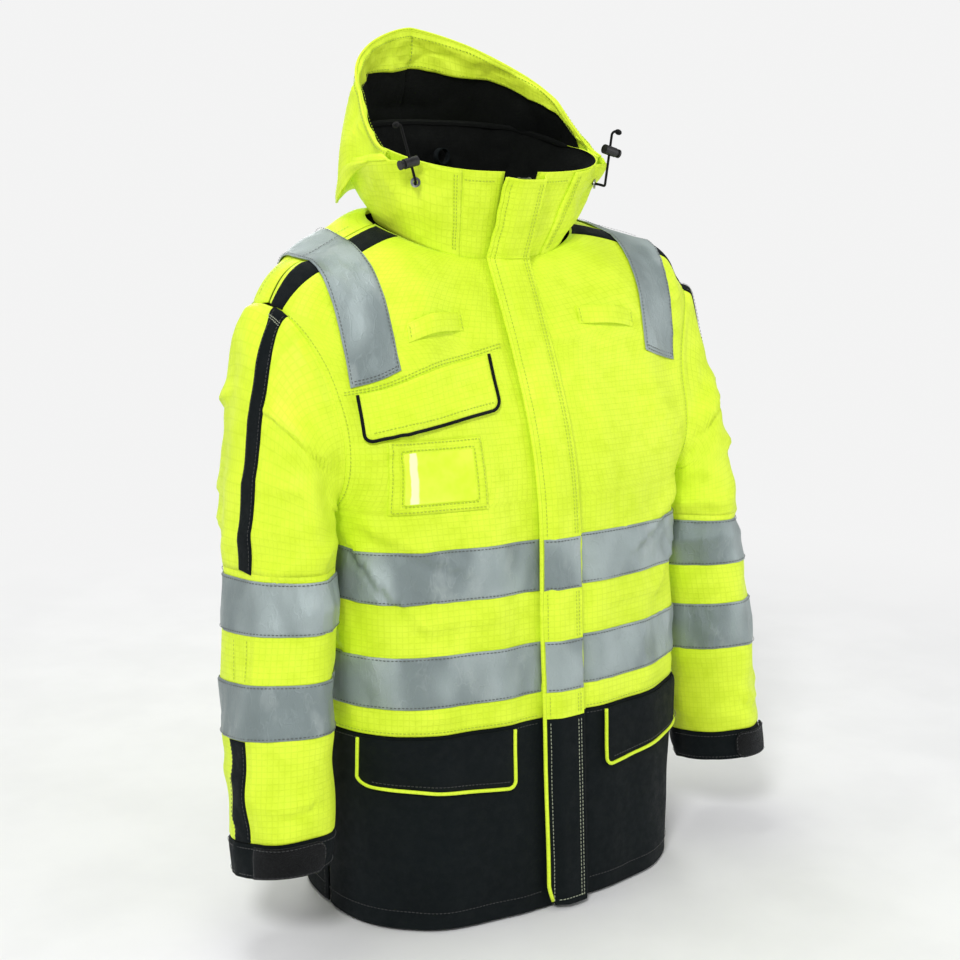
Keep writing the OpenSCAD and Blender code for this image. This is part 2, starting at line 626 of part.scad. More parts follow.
module cuff_tab(side) {
    on_side(side) color(fleece)
        sheet(function (u, v, o)
            let (a = mix(-112, -28, u)) on_sleeve(a, sleeve_s(a, sleeve_end_h + 1 + v * (cuff_h - 2)), o),
                7, 1, 3.4, 5.8);
}

front_panel(RIGHT);  // front_panel_right
front_panel(LEFT);  // front_panel_left
back_panel();
lower_front(RIGHT);  // lower_front_right
lower_front(LEFT);  // lower_front_left
lower_back();
body_lining();
waist_tapes();
braces();
shoulder_stripes();
collar();
collar_lining();
hang_loop();
zip_tape();
zip_teeth();
slider_body(top_w);  // zip_slider_top
pull_tab(top_w);  // zip_pull_top
slider_body(bottom_w);  // zip_slider_bottom
pull_tab(bottom_w);  // zip_pull_bottom
flap_root();
collar_flap();
storm_flap();
flap_binding();
flap_tapes();
loop_patches();
hook_patches();
pocket_bags();
pocket_flap(RIGHT);  // pocket_flap_right
pocket_piping(RIGHT);  // pocket_piping_right
pocket_flap(LEFT);  // pocket_flap_left
pocket_piping(LEFT);  // pocket_piping_left
chest_flap();
chest_piping();
badge_holder();
badge_window();
mic_loops();
hood_skirt();
hood_shell();
hood_facing();
hood_lining();
cord_eyelets();
hood_cords();
cord_lock(RIGHT);  // cord_lock_right
cord_button(RIGHT);  // cord_button_right
cord_lock(LEFT);  // cord_lock_left
cord_button(LEFT);  // cord_button_left
sleeve_upper(RIGHT);  // sleeve_upper_right
sleeve_lower(RIGHT);  // sleeve_lower_right
stripe_upper(RIGHT);  // stripe_upper_right
stripe_lower(RIGHT);  // stripe_lower_right
sleeve_tapes(RIGHT);  // sleeve_tapes_right
cuff(RIGHT);  // cuff_right
cuff_tab(RIGHT);  // cuff_tab_right
sleeve_upper(LEFT);  // sleeve_upper_left
sleeve_lower(LEFT);  // sleeve_lower_left
stripe_upper(LEFT);  // stripe_upper_left
stripe_lower(LEFT);  // stripe_lower_left
sleeve_tapes(LEFT);  // sleeve_tapes_left
cuff(LEFT);  // cuff_left
cuff_tab(LEFT);  // cuff_tab_left
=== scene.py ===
import math

import bpy
import numpy as np
from mathutils import Matrix, Vector


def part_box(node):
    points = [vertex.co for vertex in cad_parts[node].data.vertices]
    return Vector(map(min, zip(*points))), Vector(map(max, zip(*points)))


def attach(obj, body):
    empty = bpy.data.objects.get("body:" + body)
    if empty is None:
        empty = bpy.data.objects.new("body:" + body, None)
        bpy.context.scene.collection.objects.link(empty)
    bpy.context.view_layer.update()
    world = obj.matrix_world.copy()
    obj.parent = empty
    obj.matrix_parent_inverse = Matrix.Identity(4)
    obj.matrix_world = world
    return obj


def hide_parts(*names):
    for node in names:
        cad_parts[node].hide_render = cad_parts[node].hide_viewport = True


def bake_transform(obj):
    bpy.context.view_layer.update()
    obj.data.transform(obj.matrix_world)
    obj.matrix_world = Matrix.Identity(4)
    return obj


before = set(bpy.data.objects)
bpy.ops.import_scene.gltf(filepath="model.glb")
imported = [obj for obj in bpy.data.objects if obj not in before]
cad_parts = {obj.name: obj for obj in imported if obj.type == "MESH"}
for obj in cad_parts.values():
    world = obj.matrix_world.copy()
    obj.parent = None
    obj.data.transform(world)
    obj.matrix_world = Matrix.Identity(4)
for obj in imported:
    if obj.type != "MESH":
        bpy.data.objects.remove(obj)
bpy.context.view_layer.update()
MM = 0.001


# ---- Small maths: lengths are in millimetres and angles in degrees until a mesh is made ----------
def cosd(a):
    return np.cos(np.radians(a))


def sind(a):
    return np.sin(np.radians(a))


def spow(x, e):
    return np.sign(x) * np.abs(x) ** e


def mix(a, b, t):
    return a + (b - a) * t


def ease(t):
    t = np.clip(t, 0, 1)
    return t * t * (3 - 2 * t)


def bell(x, width):
    return np.exp(-(x / width) ** 2)


def vec(*parts):
    return np.stack(np.broadcast_arrays(*parts), -1).astype(float)


def unit(v):
    return v / np.maximum(np.linalg.norm(v, axis=-1, keepdims=True), 1e-9)


def smooth_table(rows, sigma=14.0):
    """A height table as a smooth curve: linear between its rows, then blurred."""
    z = np.arange(-120.0, 1100.0, 2.0)
    x, y = np.array(rows, float).T
    v = np.interp(z, x, y)
    k = np.exp(-0.5 * (np.arange(-40, 41) * 2.0 / sigma) ** 2)
    v = np.convolve(np.pad(v, 40, mode="edge"), k / k.sum(), mode="valid")
    return lambda q: np.interp(q, z, v)


def blur_rows(P, sigma, lo, hi):
    """Blurs a grid of points along its columns between two rows."""
    w = np.exp(-0.5 * (np.arange(-8, 9) / sigma) ** 2)
    w /= w.sum()
    padded = np.pad(P, ((8, 8), (0, 0), (0, 0)), mode="reflect", reflect_type="odd")
    out = sum(w[i] * padded[i:i + len(P)] for i in range(17))
    rows = np.arange(len(P))
    share = ease((rows - lo) / 4.0) * ease((hi - rows) / 4.0)
    return mix(P, out, share[:, None, None])


# ---- The coat's design surfaces, as in the CAD source ------------------------------------------
NECK_FRONT, SKIRT, YOKE, COLLAR_H, COLLAR_RISE, PEAK = 729.0, 222.0, 600.0, 97.0, 56.0, 991.0
SLEEVE_END, CUFF_H, TAPE_W = 92.0, 36.0, 58.0
HOOPS = (253.0, 369.0)
SLEEVE_TAPES = (236.0, 344.0)
BRACE_X = 199.0
ARM_LOW, ELBOW_Z = 470.0, 408.0
NECK_S = 700.0
STRIPE_A = -22.0
# depths are given from the side seams' line, which is this far from the origin
Y0 = -23.7


def from_seam(rows, sigma=14.0):
    return smooth_table([(z, Y0 + y) for z, y in rows], sigma)


front_y = from_seam([(0, -146), (460, -107), (520, -95), (560, -82), (600, -60)], 8)
back_y = from_seam([(0, 136), (222, 126), (400, 132), (600, 146)])
half_w = smooth_table([(0, 226), (222, 234), (400, 230), (470, 240), (540, 290), (600, 305)])
middle_y = from_seam([(0, 0), (300, 0), (470, 10), (600, 32)])


def wall(a, z):
    m = middle_y(z)
    depth = np.where(sind(a) < 0, m - front_y(z), back_y(z) - m)
    e = 2 / 2.9
    return vec(half_w(z) * spow(cosd(a), e), m + depth * spow(sind(a), e), z + 0 * a)


def neck(a):
    e = 2 / 2.5
    return vec(119 * spow(cosd(a), e), Y0 + 72 + 68 * spow(sind(a), e),
               NECK_FRONT + 28 + 28 * sind(a) + 12 * cosd(a) ** 2)


def collar_top(a):
    return vec(146 * spow(cosd(a), 2 / 3), Y0 + 56 + 86 * spow(sind(a), 2 / 3),
               NECK_FRONT + COLLAR_H + COLLAR_RISE * (1 + sind(a)) / 2)


def shoulder(a, t):
    base, end = wall(a, YOKE + 0 * t), neck(a) + 0 * vec(t, t, t)
    slack = np.where(sind(a) < 0, 1.05, 1.2)
    n = slack + (3 - slack) * np.abs(cosd(a)) ** 1.5
    c, s = cosd(90 * t) ** (2 / n), sind(90 * t) ** (2 / n)
    return vec(mix(end[..., 0], base[..., 0], c), mix(end[..., 1], base[..., 1], c),
               mix(base[..., 2], end[..., 2], s))


def body(a, s):
    a, s = np.broadcast_arrays(np.asarray(a, float), np.asarray(s, float))
    low = wall(a, np.minimum(s, YOKE))
    high = shoulder(a, np.clip((s - YOKE) / 100, 0, 1))
    return np.where((s <= YOKE)[..., None], low, high)


def collar_at(a, v):
    b = sind(180 * v) * 2.5 * (1 + sind(a))
    p = mix(neck(a), collar_top(a), v[..., None])
    return p + vec(b * cosd(a), b * sind(a), 0 * b)


def bezier(p, p1, q1, q, t):
    return (1 - t) ** 3 * p + 3 * t * (1 - t) ** 2 * p1 + 3 * t * t * (1 - t) * q1 + t ** 3 * q


class Surface:
    """A grid of points with smooth lookup: columns in even steps, rows at any rising values."""

    def __init__(self, cols, rows, P, wrap):
        self.cols, self.rows, self.wrap = np.asarray(cols, float), np.asarray(rows, float), wrap
        self.P = P
        du = np.roll(P, -1, 1) - np.roll(P, 1, 1) if wrap else np.gradient(P, axis=1)
        self.N = unit(np.cross(du, np.gradient(P, axis=0)))

    def _taps(self, x, n, wrap):
        base = np.floor(x).astype(int)
        f = x - base
        w = (0.5 * (-f + 2 * f ** 2 - f ** 3), 0.5 * (2 - 5 * f ** 2 + 3 * f ** 3),
             0.5 * (f + 4 * f ** 2 - 3 * f ** 3), 0.5 * (f ** 3 - f ** 2))
        spots = [(base + k) % n if wrap else np.clip(base + k, 0, n - 1) for k in (-1, 0, 1, 2)]
        return spots, w

    def lookup(self, grid, a, s):
        a, s = np.broadcast_arrays(np.asarray(a, float), np.asarray(s, float))
        i = (a - self.cols[0]) / (self.cols[1] - self.cols[0])
        j = np.interp(s, self.rows, np.arange(len(self.rows)))
        if not self.wrap:
            i = np.clip(i, 0, len(self.cols) - 1)
        ci, wi = self._taps(i, len(self.cols), self.wrap)
        rj, wj = self._taps(j, len(self.rows), False)
        out = 0
        for r, x in zip(rj, wj):
            for c, y in zip(ci, wi):
                out = out + grid[r, c] * (x * y)[..., None]
        return out

    def at(self, a, s, off=0.0):
        p = self.lookup(self.P, a, s)
        n = unit(self.lookup(self.N, a, s))
        return p + n * np.asarray(off, float)[..., None] if np.ndim(off) else p + n * off

    def normal(self, a, s):
        return unit(self.lookup(self.N, a, s))


# The base body surface, with the step at the yoke rounded
BODY_COLS = np.arange(-90, 270, 2.25)
BODY_ROWS = np.concatenate([np.arange(0, 600, 8.0), 600 + np.arange(0, 100, 3.0), [699.6]])
base_P = body(BODY_COLS[None, :], BODY_ROWS[:, None])
base_P = blur_rows(base_P, 2.6, 62, 104)
base = Surface(BODY_COLS, BODY_ROWS, base_P, True)


def bisect(test, lo, hi, n=18):
    """Where test(m) turns from True to False between lo and hi, for arrays."""
    for _ in range(n):
        m = (lo + hi) / 2
        ok = test(m)
        lo, hi = np.where(ok, m, lo), np.where(ok, hi, m)
    return (lo + hi) / 2


def turned(m, side, back=False):
    """An angle 0..90 from the side seam towards the front or back, on either side, as a body angle."""
    a = m if back else -m
    return a if side > 0 else 180 - a


def angle_at(x, s, back=False):
    """The body angle where the surface reaches x (signed) at s."""
    x, s = np.broadcast_arrays(np.asarray(x, float), np.asarray(s, float))
    side = np.where(x < 0, -1, 1)
    sign = 1 if back else -1
    m = bisect(lambda q: np.abs(base.at(sign * q, s)[..., 0]) > np.abs(x),
               np.zeros(x.shape), np.full(x.shape, 90.0))
    a = sign * m
    return np.where(side > 0, a, 180 - a)


def s_at(x, z):
    """The s of the front surface's point at x and height z."""
    x, z = np.broadcast_arrays(np.asarray(x, float), np.asarray(z, float))
    lo, hi = np.full(x.shape, 0.0), np.full(x.shape, NECK_S - 1)
    return bisect(lambda s: base.at(angle_at(x, s), s)[..., 2] < z, lo, hi, 14)


def arm_x(z):
    return 240 + 48 * np.clip((z - ARM_LOW) / 240, 0, 1) ** 3


def edge_angle(s, back):
    """Angle from the side seam to the armhole's edge, at s."""
    s = np.asarray(s, float)
    sign = 1 if back else -1

    def outside(m):
        p = base.at(sign * m, s)
        return p[..., 0] > arm_x(p[..., 2])
    m = bisect(outside, np.zeros(s.shape), np.full(s.shape, 90.0))
    return np.where((s < ARM_LOW) | (s > ARM_TOP), 0.0, m)


def beyond_arm(s):
    p = base.at(0.0, s)
    return p[..., 0] > arm_x(p[..., 2])


ARM_TOP = float(bisect(beyond_arm, np.array(600.0), np.array(700.0), 20))


def put_object(name, data):
    o = bpy.data.objects.new(name, data)
    bpy.context.scene.collection.objects.link(o)
    return o


# ---- Folds ---------------------------------------------------------------------------------------
WAVE_COUNT = 14
CLOTH_FRAMES = 18


def waves(P, length, seed, direction=None, spread=0.35):
    """A smooth random field over 3-D points, about -1 to 1, with waves of about the given length."""
    rng = np.random.default_rng(seed)
    k = rng.normal(size=(WAVE_COUNT, 3))
    if direction is not None:
        k = unit(np.array(direction, float)) * rng.choice([-1, 1], (WAVE_COUNT, 1)) + spread * k
    k = unit(k) * (2 * math.pi / length) * rng.uniform(0.7, 1.35, (WAVE_COUNT, 1))
    phase = rng.uniform(0, 2 * math.pi, WAVE_COUNT)
    return np.sin(P @ k.T + phase).sum(-1) / math.sqrt(WAVE_COUNT)


def creases(P, length, seed, direction=None, spread=0.35):
    """Soft swells with narrow valleys, as stiff fabric folds."""
    return 0.75 - np.abs(waves(P, length * 2, seed, direction, spread)) ** 0.8


def fold_line(P, p0, p1, width, depth):
    """A single fold from p0 to p1: a ridge with a valley on its lower side."""
    p0, p1 = np.array(p0, float) + [0, Y0, 0], np.array(p1, float) + [0, Y0, 0]
    d = p1 - p0
    t = ((P - p0) @ d) / (d @ d)
    near = P - (p0 + np.clip(t, 0, 1)[..., None] * d)
    q = np.linalg.norm(near, axis=-1)
    up = np.sign(near[..., 2] + 1e-6)
    ends = ease((t + 0.15) / 0.35) * ease((1.15 - t) / 0.35)
    return depth * ends * (np.exp(-((q - 0.45 * width * (up > 0)) / width) ** 2)
                           - 0.9 * np.exp(-((q + 0.5 * width * up) / (0.55 * width)) ** 2) * (up < 0))


def folded(P, N, table, side, scale, still):
    """Offsets for a table of single folds, each given by its two ends, width and depth."""
    out = 0
    for p0, p1, width, depth in table:
        q0, q1 = (np.array([p[0] * side, p[1], p[2]], float) for p in (p0, p1))
        out = out + N * (scale * fold_line(P, q0, q1, width, depth) * (1 - still))[..., None]
    return out


def drape(P, wrap, pins, grow_u, grow_v, bend, cap, seed, pressure):
    """Runs a cloth simulation of a sheet cut a little larger than P, and returns its folds as offsets."""
    rows, cols = P.shape[:2]
    n = unit(np.cross(np.gradient(P, axis=1), np.gradient(P, axis=0)))
    start = P + n * waves(P, 70, seed)[..., None] * 0.8 * (1 - pins)[..., None]
    mesh = bpy.data.meshes.new("fold_sheet")
    last = cols if wrap else cols - 1
    faces = [(j * cols + i, j * cols + (i + 1) % cols, (j + 1) * cols + (i + 1) % cols, (j + 1) * cols + i)
             for j in range(rows - 1) for i in range(last)]
    mesh.from_pydata((start * MM).reshape(-1, 3).tolist(), [], faces)
    sheet = put_object("fold_sheet", mesh)
    sheet.shape_key_add(name="Basis")
    cut = sheet.shape_key_add(name="Cut")
    centre = P.mean(1, keepdims=True)
    larger = centre + (P - centre) * (1 + grow_u)[..., None]
    step = np.linalg.norm(np.diff(P, axis=0, prepend=P[:1]), axis=-1)
    larger[..., 2] = P[..., 2] + np.cumsum(step * grow_v, axis=0)
    cut.data.foreach_set("co", (larger * MM).astype(np.float32).ravel())
    group = sheet.vertex_groups.new(name="Pin")
    flat = pins.ravel()
    for level in (1.0, 0.75, 0.5, 0.25):
        ids = np.nonzero(np.abs(flat - level) < 0.125)[0].tolist()
        if ids:
            group.add(ids, level, "REPLACE")
    cloth = sheet.modifiers.new("Cloth", "CLOTH")
    st = cloth.settings
    st.rest_shape_key = cut
    st.vertex_group_mass = "Pin"
    st.quality = 5
    st.mass = 0.25
    st.air_damping = 4.0
    st.tension_stiffness = st.compression_stiffness = 20
    st.shear_stiffness = 8
    st.bending_stiffness = bend
    st.tension_damping = st.compression_damping = 12
    st.effector_weights.gravity = 0.0
    st.use_pressure = True
    st.uniform_pressure_force = pressure
    cloth.collision_settings.use_collision = False
    cloth.collision_settings.use_self_collision = False
    cloth.point_cache.frame_start, cloth.point_cache.frame_end = 1, CLOTH_FRAMES + 2
    for f in range(1, CLOTH_FRAMES + 1):
        bpy.context.scene.frame_set(f)
    made = sheet.evaluated_get(bpy.context.evaluated_depsgraph_get()).data
    co = np.zeros(len(made.vertices) * 3, np.float32)
    made.vertices.foreach_get("co", co)
    moved = co.reshape(rows, cols, 3).astype(float) / MM - P
    bpy.data.objects.remove(sheet)
    bpy.context.scene.frame_set(1)
    size = np.linalg.norm(moved, axis=-1, keepdims=True)
    return moved * np.minimum(1, cap * np.tanh(size / cap) / np.maximum(size, 1e-6))


def pinned(share):
    return np.round(np.clip(share, 0, 1) * 4) / 4


def settled(P):
    """The hanging cloth drops and narrows at the shoulders, more on the wearer's right."""
    side = np.sign(P[..., 0])
    x, z = np.abs(P[..., 0]), P[..., 2]
    share = ease((x - 116) / 96) * ease((z - 545) / 130)
    narrow = ease((x - 215) / 70) * bell(z - 625, 75)
    inward, drop = np.where(side < 0, 5, 13), np.where(side < 0, 21, 10)
    return P + vec(-side * inward * narrow, 0 * x, -drop * share)


# Torso: folds hang from the armholes and gather lightly under the hoops
s2 = BODY_ROWS[:, None]
px, py, pz = base_P[..., 0], base_P[..., 1], base_P[..., 2]
near_front = bell(px, 34) * (py < 0)
# distance from the armhole, roughly, in millimetres
arm_far = np.hypot(np.maximum(0, arm_x(pz) - np.abs(px)), np.maximum(0, ARM_LOW - pz) * 0.8)
still = np.clip(near_front * 1.6 + np.exp(-(arm_far / 16) ** 2) * (pz > 440) + ease((s2 - 660) / 30)
                + 0.5 * bell(pz, 14), 0, 1)
swell = creases(base_P * [1, 1, 0.45], 62, 11, (0.8, 0.5, 0.35), 0.6)
hang = waves(base_P * [1, 1, 0.12], 95, 12)
torso_D = base.N * ((2.1 * swell + 2.4 * hang) * (1 - still))[..., None]
# stress folds from each armpit, and soft folds at the waist
TORSO_FOLDS = (
    ((226, -60, 455), (120, -118, 395), 13, 3.4), ((230, -30, 440), (160, -105, 330), 12, 3.0),
    ((232, 20, 430), (225, -40, 300), 14, 3.0), ((222, -70, 520), (150, -95, 560), 12, 2.2),
    ((226, 70, 455), (110, 128, 380), 13, 3.2), ((232, 40, 440), (150, 120, 300), 12, 3.0),
    ((226, -50, 235), (120, -138, 240), 8, 1.8), ((60, -125, 345), (200, -95, 338), 8, 1.6),
    ((70, 132, 350), (215, 85, 335), 9, 2.2), ((40, 132, 240), (205, 90, 232), 9, 2.2))
for side in (-1, 1):
    torso_D = torso_D + folded(base_P, base.N, TORSO_FOLDS, side, 1.7, still)
waist = bell(pz - 330, 120)
torso_D += 0.9 * drape(base_P, True, pinned(still), 0.006 + 0.014 * (pz < 560) * (1 - near_front),
                       0.008 + 0.016 * waist, 1.2, 6.0, 3, 0.6)
torso = Surface(BODY_COLS, BODY_ROWS, settled(base_P + torso_D), True)


# Sleeves: a tube hanging from the armhole loop, drawn for the wearer's left
sleeve_x = smooth_table([(92, 319), (280, 305), (385, 289), (470, 289), (560, 279)], 16)
sleeve_y = from_seam([(92, -61), (280, -26), (385, -4), (470, 14), (560, 28)], 16)
sleeve_a = smooth_table([(92, 51), (128, 52), (280, 53), (385, 51), (470, 46), (560, 44)], 16)
sleeve_b = smooth_table([(92, 57), (128, 61), (280, 76), (385, 86), (470, 90), (560, 86)], 16)
sleeve_lean = smooth_table([(92, 0.2), (280, 0.16), (385, 0.1), (470, 0)], 16)
JOIN = (430.0, 560.0)


def tube(a, z):
    y = sleeve_b(z) * sind(a)
    return vec(sleeve_x(z) + sleeve_a(z) * cosd(a), sleeve_y(z) + y, z - y * sleeve_lean(z))


def loop_point(a):
    """The armhole seam, by angle round the sleeve, on the wearer's left."""
    h = (1 + cosd(a)) / 2
    s = np.clip(mix(ARM_LOW, ARM_TOP, h), ARM_LOW + 0.01, ARM_TOP - 0.01)
    m = np.where(sind(a) < 0, -edge_angle(s, False), edge_angle(s, True))
    return base.at(m, s)


def sleeve_point(a, s):
    a, s = np.broadcast_arrays(np.asarray(a, float), np.asarray(s, float))
    k = (1 + cosd(a)) / 2
    j = mix(JOIN[0], JOIN[1], k)
    low = tube(a, mix(j, SLEEVE_END, np.clip(-s, 0, 1)))
    p, q = loop_point(a), tube(a, j)
    up = np.maximum(0, q[..., 0] - p[..., 0]) * 0.55 + 10
    p1, p2 = p + vec(up, 0 * up, -12 * k), q + vec(0 * k, 0 * k, 62 * k + 10)
    t = np.clip(1 - s, 0, 1)[..., None]
    return np.where((s <= 0)[..., None], low, bezier(p, p1, p2, q, t))


def sleeve_s(a, z):
    j = mix(JOIN[0], JOIN[1], (1 + cosd(a)) / 2)
    return -(j - z) / (j - SLEEVE_END)


SLEEVE_COLS = np.arange(0, 360, 5.0)
SLEEVE_ROWS = np.concatenate([np.linspace(-1, 0, 56), np.linspace(0, 1, 40)[1:]])
sleeve_P = sleeve_point(SLEEVE_COLS[None, :], SLEEVE_ROWS[:, None])
sleeve_P = blur_rows(sleeve_P, 2.4, 40, 80)


def mirror(P, side):
    return P * np.array([side, 1, 1.0])


SLEEVE_FOLDS = (
    ((262, -62, 520), (330, -30, 590), 13, 3.2), ((250, -30, 470), (318, -62, 500), 13, 3.4),
    ((262, 90, 520), (330, 60, 600), 13, 3.2), ((250, 60, 470), (320, 92, 480), 12, 3.0),
    ((260, -70, 430), (335, -55, 405), 12, 2.6), ((262, 60, 420), (330, 66, 445), 12, 2.8),
    ((300, -120, 180), (360, -95, 165), 9, 2.4), ((290, 10, 160), (350, 8, 175), 9, 2.2))


def make_sleeve(side):
    """The sleeve surface in the wearer's-left layout; the other side is mirrored when it is sampled."""
    seed = 21 if side < 0 else 34
    s = Surface(SLEEVE_COLS, SLEEVE_ROWS, sleeve_P, True)
    rows = SLEEVE_ROWS[:, None] + 0 * SLEEVE_COLS
    still = np.clip(ease((rows - 0.86) / 0.12) + ease((-0.93 - rows) / 0.06), 0, 1)
    z = sleeve_P[..., 2]
    long_fold = waves(sleeve_P * [1, 1, 0.1], 58, seed) * 2.2
    cross = creases(sleeve_P * [0.5, 0.5, 1], 46, seed + 1, (0.2, 0.5, 1), 0.4)
    bend = bell(z - 425, 60) + 0.9 * bell(z - 190, 60) + 0.35
    D = s.N * ((1.15 * long_fold + 3.5 * cross * bend) * (1 - still))[..., None]
    D = D + folded(sleeve_P, s.N, SLEEVE_FOLDS, 1, 1.8, still)
    D = D + drape(sleeve_P, True, pinned(still), 0.015 + 0 * z, 0.012 + 0.03 * bend * (z > 100),
                  0.8, 6.0, seed + 5, 0.8)
    # the settling depends on the side, and the sleeve is drawn on the left
    return Surface(SLEEVE_COLS, SLEEVE_ROWS, mirror(settled(mirror(sleeve_P + D, side)), side), True)


sleeves = {side: make_sleeve(side) for side in (-1, 1)}


class Mirrored:
    """A sleeve surface seen on its own side of the coat."""

    def __init__(self, surface, side):
        self.surface, self.side = surface, side

    def at(self, a, s, off=0.0):
        return mirror(self.surface.at(a, s, off), self.side)

    def normal(self, a, s):
        return mirror(self.surface.normal(a, s), self.side)


arm_surface = {side: Mirrored(sleeves[side], side) for side in (-1, 1)}

# Collar
COLLAR_COLS = np.arange(-90, 270, 3.0)
COLLAR_ROWS = np.linspace(0, 1, 18)
collar_P = collar_at(*np.meshgrid(COLLAR_COLS, COLLAR_ROWS))
collar_base = Surface(COLLAR_COLS, COLLAR_ROWS, collar_P, True)
calm = bell(COLLAR_COLS[None, :] + 90 - 360 * (COLLAR_COLS[None, :] > 90), 9)
rise = np.sin(math.pi * COLLAR_ROWS)[:, None] ** 0.5
crumple = (2.1 * creases(collar_P * [1, 1, 1.4], 34, 51, (0.3, 0.3, 1), 0.7)
           + 1.6 * waves(collar_P, 60, 52)) * (1 - calm) * rise
collar = Surface(COLLAR_COLS, COLLAR_ROWS, collar_P + collar_base.N * crumple[..., None], True)


def half_angle(a):
    """The same place's angle on the wearer's left half."""
    return np.where(a > 90, 180 - a, a)


# Hood: b runs from the wearer's left cord over the peak to the right one, t from the collar to the rim
def base_angle(b):
    a = mix(-26.0, 90.0, (half_angle(b) / 90) ** 0.7)
    return np.where(b > 90, 180 - a, a)


def hood_at(b, t):
    s = np.maximum(sind(b), 0)
    p = collar_base.at(base_angle(b), mix(1, 0.3, s ** 0.7), 14.5 + 2 * s)
    q = vec(148 * spow(cosd(b), 1.5) - 32 * s, Y0 + 7 + 148 * s ** 0.57, 852 + (PEAK - 3 - 852) * s ** 0.67)
    q = q + (p - q) * 0.62 * (1 - ease(np.minimum(b, 180 - b) / 17))[..., None]
    out = vec(cosd(b) * 0.8, sind(b), 0 * b)
    k = (s ** 1.3)[..., None]
    down = np.array([0, 0, 1.0])
    p1 = p + out * (12 + 66 * k) - down * (50 * k)
    q1 = q + out * (4 + 40 * k) - down * (70 * k)
    return bezier(p, p1, q1, q, t[..., None])


HOOD_COLS = np.arange(0, 181, 2.25)
HOOD_ROWS = np.linspace(0, 1, 46)
hood_P = hood_at(*np.meshgrid(HOOD_COLS, HOOD_ROWS))
hood_base = Surface(HOOD_COLS, HOOD_ROWS, hood_P, False)
hb, ht = np.meshgrid(HOOD_COLS, HOOD_ROWS)
free = ease(ht / 0.12) * ease((1.0 - ht) / 0.12)
# the sides sag over the collar's outside
sag = bell(hb - 150, 26) + bell(hb - 30, 26)
hood_D = hood_base.N * ((4.2 * creases(hood_P, 40, 71, (0.2, 0.4, 1), 0.8)
                         + 3.2 * waves(hood_P, 90, 72)) * free)[..., None]
near = hb > 90
fall = np.where(near, 1.0, 0.15) * bell(ht - 0.27, 0.25) * ease(ht / 0.1)
slim = np.where(near, 12.0, 5.0) * ease((65 - np.abs(np.abs(hb - 90) - 50)) / 40)
slim = slim * np.sin(math.pi * np.clip(ht, 0, 1)) ** 0.7
hood_D -= hood_base.N * slim[..., None]
loose = ease(ht / 0.08) * ease((1 - ht) / 0.06) * ease(hb / 8) * ease((180 - hb) / 8)
hood_D += drape(hood_P, False, pinned(1 - loose), 0.02 + 0 * ht, 0.03 + 0 * ht, 0.8, 6.0, 77, 0.4)
sag *= ease((180 - np.maximum(hb, 180 - hb)) / 24)
hood_inner = Surface(HOOD_COLS, HOOD_ROWS, hood_P + hood_D, False)
hood = Surface(HOOD_COLS, HOOD_ROWS, hood_P + hood_D
               + vec(np.sign(cosd(hb)) * 3 * sag, 2 * sag, -46 * sag) * fall[..., None], False)


# The centre-front line, from the hem (0) to the neck (1) and the collar's top (2)
def front_line(w):
    w = np.asarray(w, float)
    low = base.at(-90.0 + 0 * w, np.clip(w, 0, 1) * NECK_S)
    high = collar_at(-90.0 + 0 * w, np.clip(w - 1, 0, 1))
    return np.where((w <= 1)[..., None], low, high)[..., 1:]


FRONT_W = np.linspace(0, 2, 240)
FRONT_YZ = blur_rows(front_line(FRONT_W)[:, None, :], 3.0, 4, 236)[:, 0]


class FrontStrip:
    """The strip down the coat's front: x across, w along."""

    def at(self, x, w, off=0.0):
        x, w, off = np.broadcast_arrays(np.asarray(x, float), np.asarray(w, float), np.asarray(off, float))
        y, z = (np.interp(w, FRONT_W, FRONT_YZ[:, i]) for i in (0, 1))
        n = self.normal(x, w)
        return vec(x, y, z) + n * off[..., None]

    def normal(self, x, w):
        x, w = np.broadcast_arrays(np.asarray(x, float), np.asarray(w, float))
        d = [np.interp(w + 0.012, FRONT_W, FRONT_YZ[:, i]) - np.interp(w - 0.012, FRONT_W, FRONT_YZ[:, i])
             for i in (0, 1)]
        return unit(vec(0 * x, -d[1], d[0]))


strip = FrontStrip()


def w_of(z):
    return np.asarray(z, float) / NECK_S


